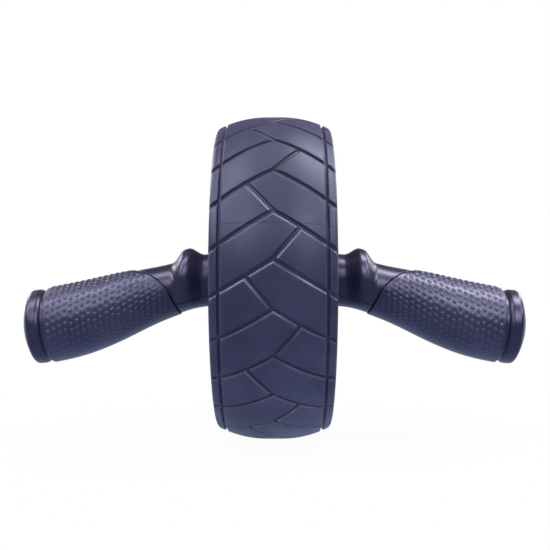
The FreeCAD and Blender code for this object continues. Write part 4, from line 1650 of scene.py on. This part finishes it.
@dataclass
class Handle:
    """One handle: both halves of its hard body, its grip and its cap."""

    side: Side
    form: HandleForm = HandleForm()

    def build(self, hard: bpy.types.Material, soft: bpy.types.Material) -> None:
        """Make every piece of the handle.

        Args:
            hard: The finish of the neck and the cap.
            soft: The finish of the grip.
        """
        for upper in (True, False):
            Panel(self.form, self.side, upper).build(hard)
        Grip(self.form, self.side).build(soft)
        EndCap(self.form, self.side).build(hard)


# Studio


@dataclass(frozen=True)
class Softbox:
    """A soft rectangular lamp that faces the roller, in metres and watts."""

    name: str
    place: tuple[float, float, float]
    size: tuple[float, float]
    power: float
    aim: tuple[float, float, float] = (0.0, 0.0, 0.095)
    colour: Colour = (1.0, 0.985, 0.97)
    gloss_only: bool = False

    def hang(self) -> None:
        """Add the lamp to the scene."""
        data = bpy.data.lights.new(self.name, "AREA")
        data.shape = "RECTANGLE"
        data.size, data.size_y = self.size
        data.energy = self.power
        data.color = self.colour
        made = bpy.data.objects.new(self.name, data)
        bpy.context.scene.collection.objects.link(made)
        made.visible_diffuse = not self.gloss_only
        facing = (Vector(self.place) - Vector(self.aim)).to_track_quat("Z", "Y")
        made.matrix_world = Matrix.Translation(Vector(self.place)) @ facing.to_matrix().to_4x4()
        log.info("%s: %.1f W", self.name, self.power)


@dataclass
class Studio:
    """The camera, the lamps, the floor, with its sizes in metres, and the white surroundings."""

    distance: float = 495.0
    elevation: float = -1.2
    azimuth: float = 0.4
    lens: float = 53.8
    shift: tuple[float, float] = (0.0012, 0.0055)
    near_metres: float = 0.01
    ambient: float = 0.2
    dim: float = 0.15
    back_range: Range = (0.1, 0.6)
    level_range: Range = (0.2, 0.5)
    cool: Colour = (0.52, 0.64, 0.9)
    floor_half: float = 4.0
    floor_drop: float = 0.0002
    floor_tones: tuple[Colour, Colour] = ((0.84, 0.9, 0.96), (0.86, 0.92, 0.98))
    floor_scale: float = 60.0
    floor_glow: float = 0.97
    shadow_reach: Range = (0.03, 0.3)
    bounce: float = 0.6
    lamps: tuple[Softbox, ...] = (
        Softbox("left_box", (-0.36, -0.2, 0.92), (0.28, 0.46), 5.0),
        Softbox("right_box", (0.38, 0.0, 0.94), (0.28, 0.5), 5.0),
        Softbox("left_sheen", (-0.36, -0.21, 0.93), (0.28, 0.46), 0.8, gloss_only=True),
        Softbox("right_sheen", (0.38, -0.01, 0.95), (0.28, 0.5), 5.5, gloss_only=True),
        Softbox("front_left", (-0.34, -0.78, 0.63), (0.28, 0.5), 4.9, gloss_only=True),
        Softbox("front_right", (0.34, -0.78, 0.63), (0.28, 0.5), 7.4, gloss_only=True),
        Softbox("left_flank", (-0.86, -0.34, 0.74), (0.26, 0.42), 8.0, gloss_only=True),
        Softbox("right_flank", (0.86, -0.34, 0.74), (0.26, 0.42), 9.0, gloss_only=True),
        Softbox("left_edge", (-0.7, 0.5, 0.62), (0.26, 0.34), 3.4, gloss_only=True),
        Softbox("right_edge", (0.7, 0.5, 0.62), (0.26, 0.34), 3.4, gloss_only=True),
    )

    def camera(self) -> None:
        """Stand the camera where the photograph was taken from."""
        turn, rise = math.radians(self.azimuth), math.radians(self.elevation)
        level = math.cos(rise)
        back = Vector((math.sin(turn) * level, -math.cos(turn) * level, math.sin(rise)))
        data = bpy.data.cameras.new("camera")
        data.lens = self.lens
        data.shift_x, data.shift_y = self.shift
        data.clip_start = self.near_metres
        made = bpy.data.objects.new("camera", data)
        bpy.context.scene.collection.objects.link(made)
        facing = back.to_track_quat("Z", "Y").to_matrix().to_4x4()
        place = Vector((0.0, 0.0, AXLE_HEIGHT * MM)) + back * self.distance * MM
        made.matrix_world = Matrix.Translation(place) @ facing
        bpy.context.scene.camera = made

    def ray(self, shader: Shader, *kinds: Ray) -> Wire:
        """One for rays of these kinds, and zero for the others."""
        outputs = [shader.node("ShaderNodeLightPath", output=f"Is {kind.value} Ray") for kind in kinds]
        return sum(outputs[1:], outputs[0])

    def seen(self, shader: Shader) -> Wire:
        """One for rays that show the background, and zero for those that light the object."""
        rays = self.ray(shader, Ray.CAMERA, Ray.GLOSSY, Ray.TRANSMISSION)
        return shader.maths("MINIMUM", rays, 1.0)

    def mirrored(self, shader: Shader) -> Wire:
        """How bright the surroundings are in a reflection.

        Args:
            shader: The surroundings' shader.

        Returns:
            One for white at the back, near the horizon, and less elsewhere.
        """
        way = shader.node("ShaderNodeTexCoord", output="Generated")
        behind = shader.spread(shader.axis("Y", way), *self.back_range)
        level = shader.spread(abs(shader.axis("Z", way)), *self.level_range, 1.0, 0.0)
        return behind * level * (1.0 - self.dim) + self.dim

    def world(self) -> None:
        """White surroundings that light the object less than they show."""
        world = bpy.data.worlds.new("surroundings")
        bpy.context.scene.world = world
        world.use_nodes = True
        shader = Shader(world.node_tree)
        shown = self.ray(shader, Ray.CAMERA, Ray.TRANSMISSION)
        strength = shown * (1.0 - self.ambient) + self.ambient
        strength = strength + self.ray(shader, Ray.GLOSSY) * (self.mirrored(shader) - self.ambient)
        sockets = {"Color": (1.0, 1.0, 1.0, 1.0), "Strength": strength}
        glow = shader.node("ShaderNodeBackground", sockets=sockets)
        shader.node("ShaderNodeOutputWorld", sockets={"Surface": glow})

    def floor(self) -> None:
        """A white floor under the wheel that keeps a soft shadow."""
        half = self.floor_half
        corners = [(-half, -half, 0), (half, -half, 0), (half, half, 0), (-half, half, 0)]
        mesh = bpy.data.meshes.new("floor")
        mesh.from_pydata(corners, [], [(0, 1, 2, 3)])
        made = bpy.data.objects.new("floor", mesh)
        made.location.z = -self.floor_drop
        bpy.context.scene.collection.objects.link(made)
        material, shader = new_material("white_floor")
        pale = shader.blend(shader.noise(self.floor_scale), *self.floor_tones)
        matt = shader.node("ShaderNodeBsdfDiffuse", sockets={"Color": pale})
        colour = shader.blend(self.ray(shader, Ray.GLOSSY), (1.0, 1.0, 1.0), self.cool)
        glow = shader.node("ShaderNodeEmission", sockets={"Color": colour, "Strength": 1.0})
        away = shader.node("ShaderNodeVectorMath", {"operation": "LENGTH"}, {0: shader.place()}, "Value")
        share = shader.spread(away, *self.shadow_reach, self.floor_glow, 1.0)
        lit = self.seen(shader) * share + self.ray(shader, Ray.DIFFUSE) * self.bounce
        mixed = shader.node("ShaderNodeMixShader", sockets={0: lit, 1: matt, 2: glow})
        shader.node("ShaderNodeOutputMaterial", sockets={"Surface": mixed})
        mesh.materials.append(material)

    def build(self) -> None:
        """Set up the whole studio."""
        bpy.context.scene.view_settings.view_transform = "Standard"
        self.camera()
        self.world()
        self.floor()
        for lamp in self.lamps:
            lamp.hang()


def main() -> None:
    """Build the roller and its studio."""
    logging.basicConfig(level=logging.INFO, format="%(name)s: %(message)s")
    WheelBody().dress()
    SpringDrive().dress()
    tyre = Tyre().build()
    log.info("%s: %d faces", tyre.name, len(tyre.data.polygons))
    hard, soft = Polished().material(), GripRubber().material()
    for side in Side:
        Handle(side).build(hard, soft)
    Studio().build()


if __name__ == "__main__":
    main()
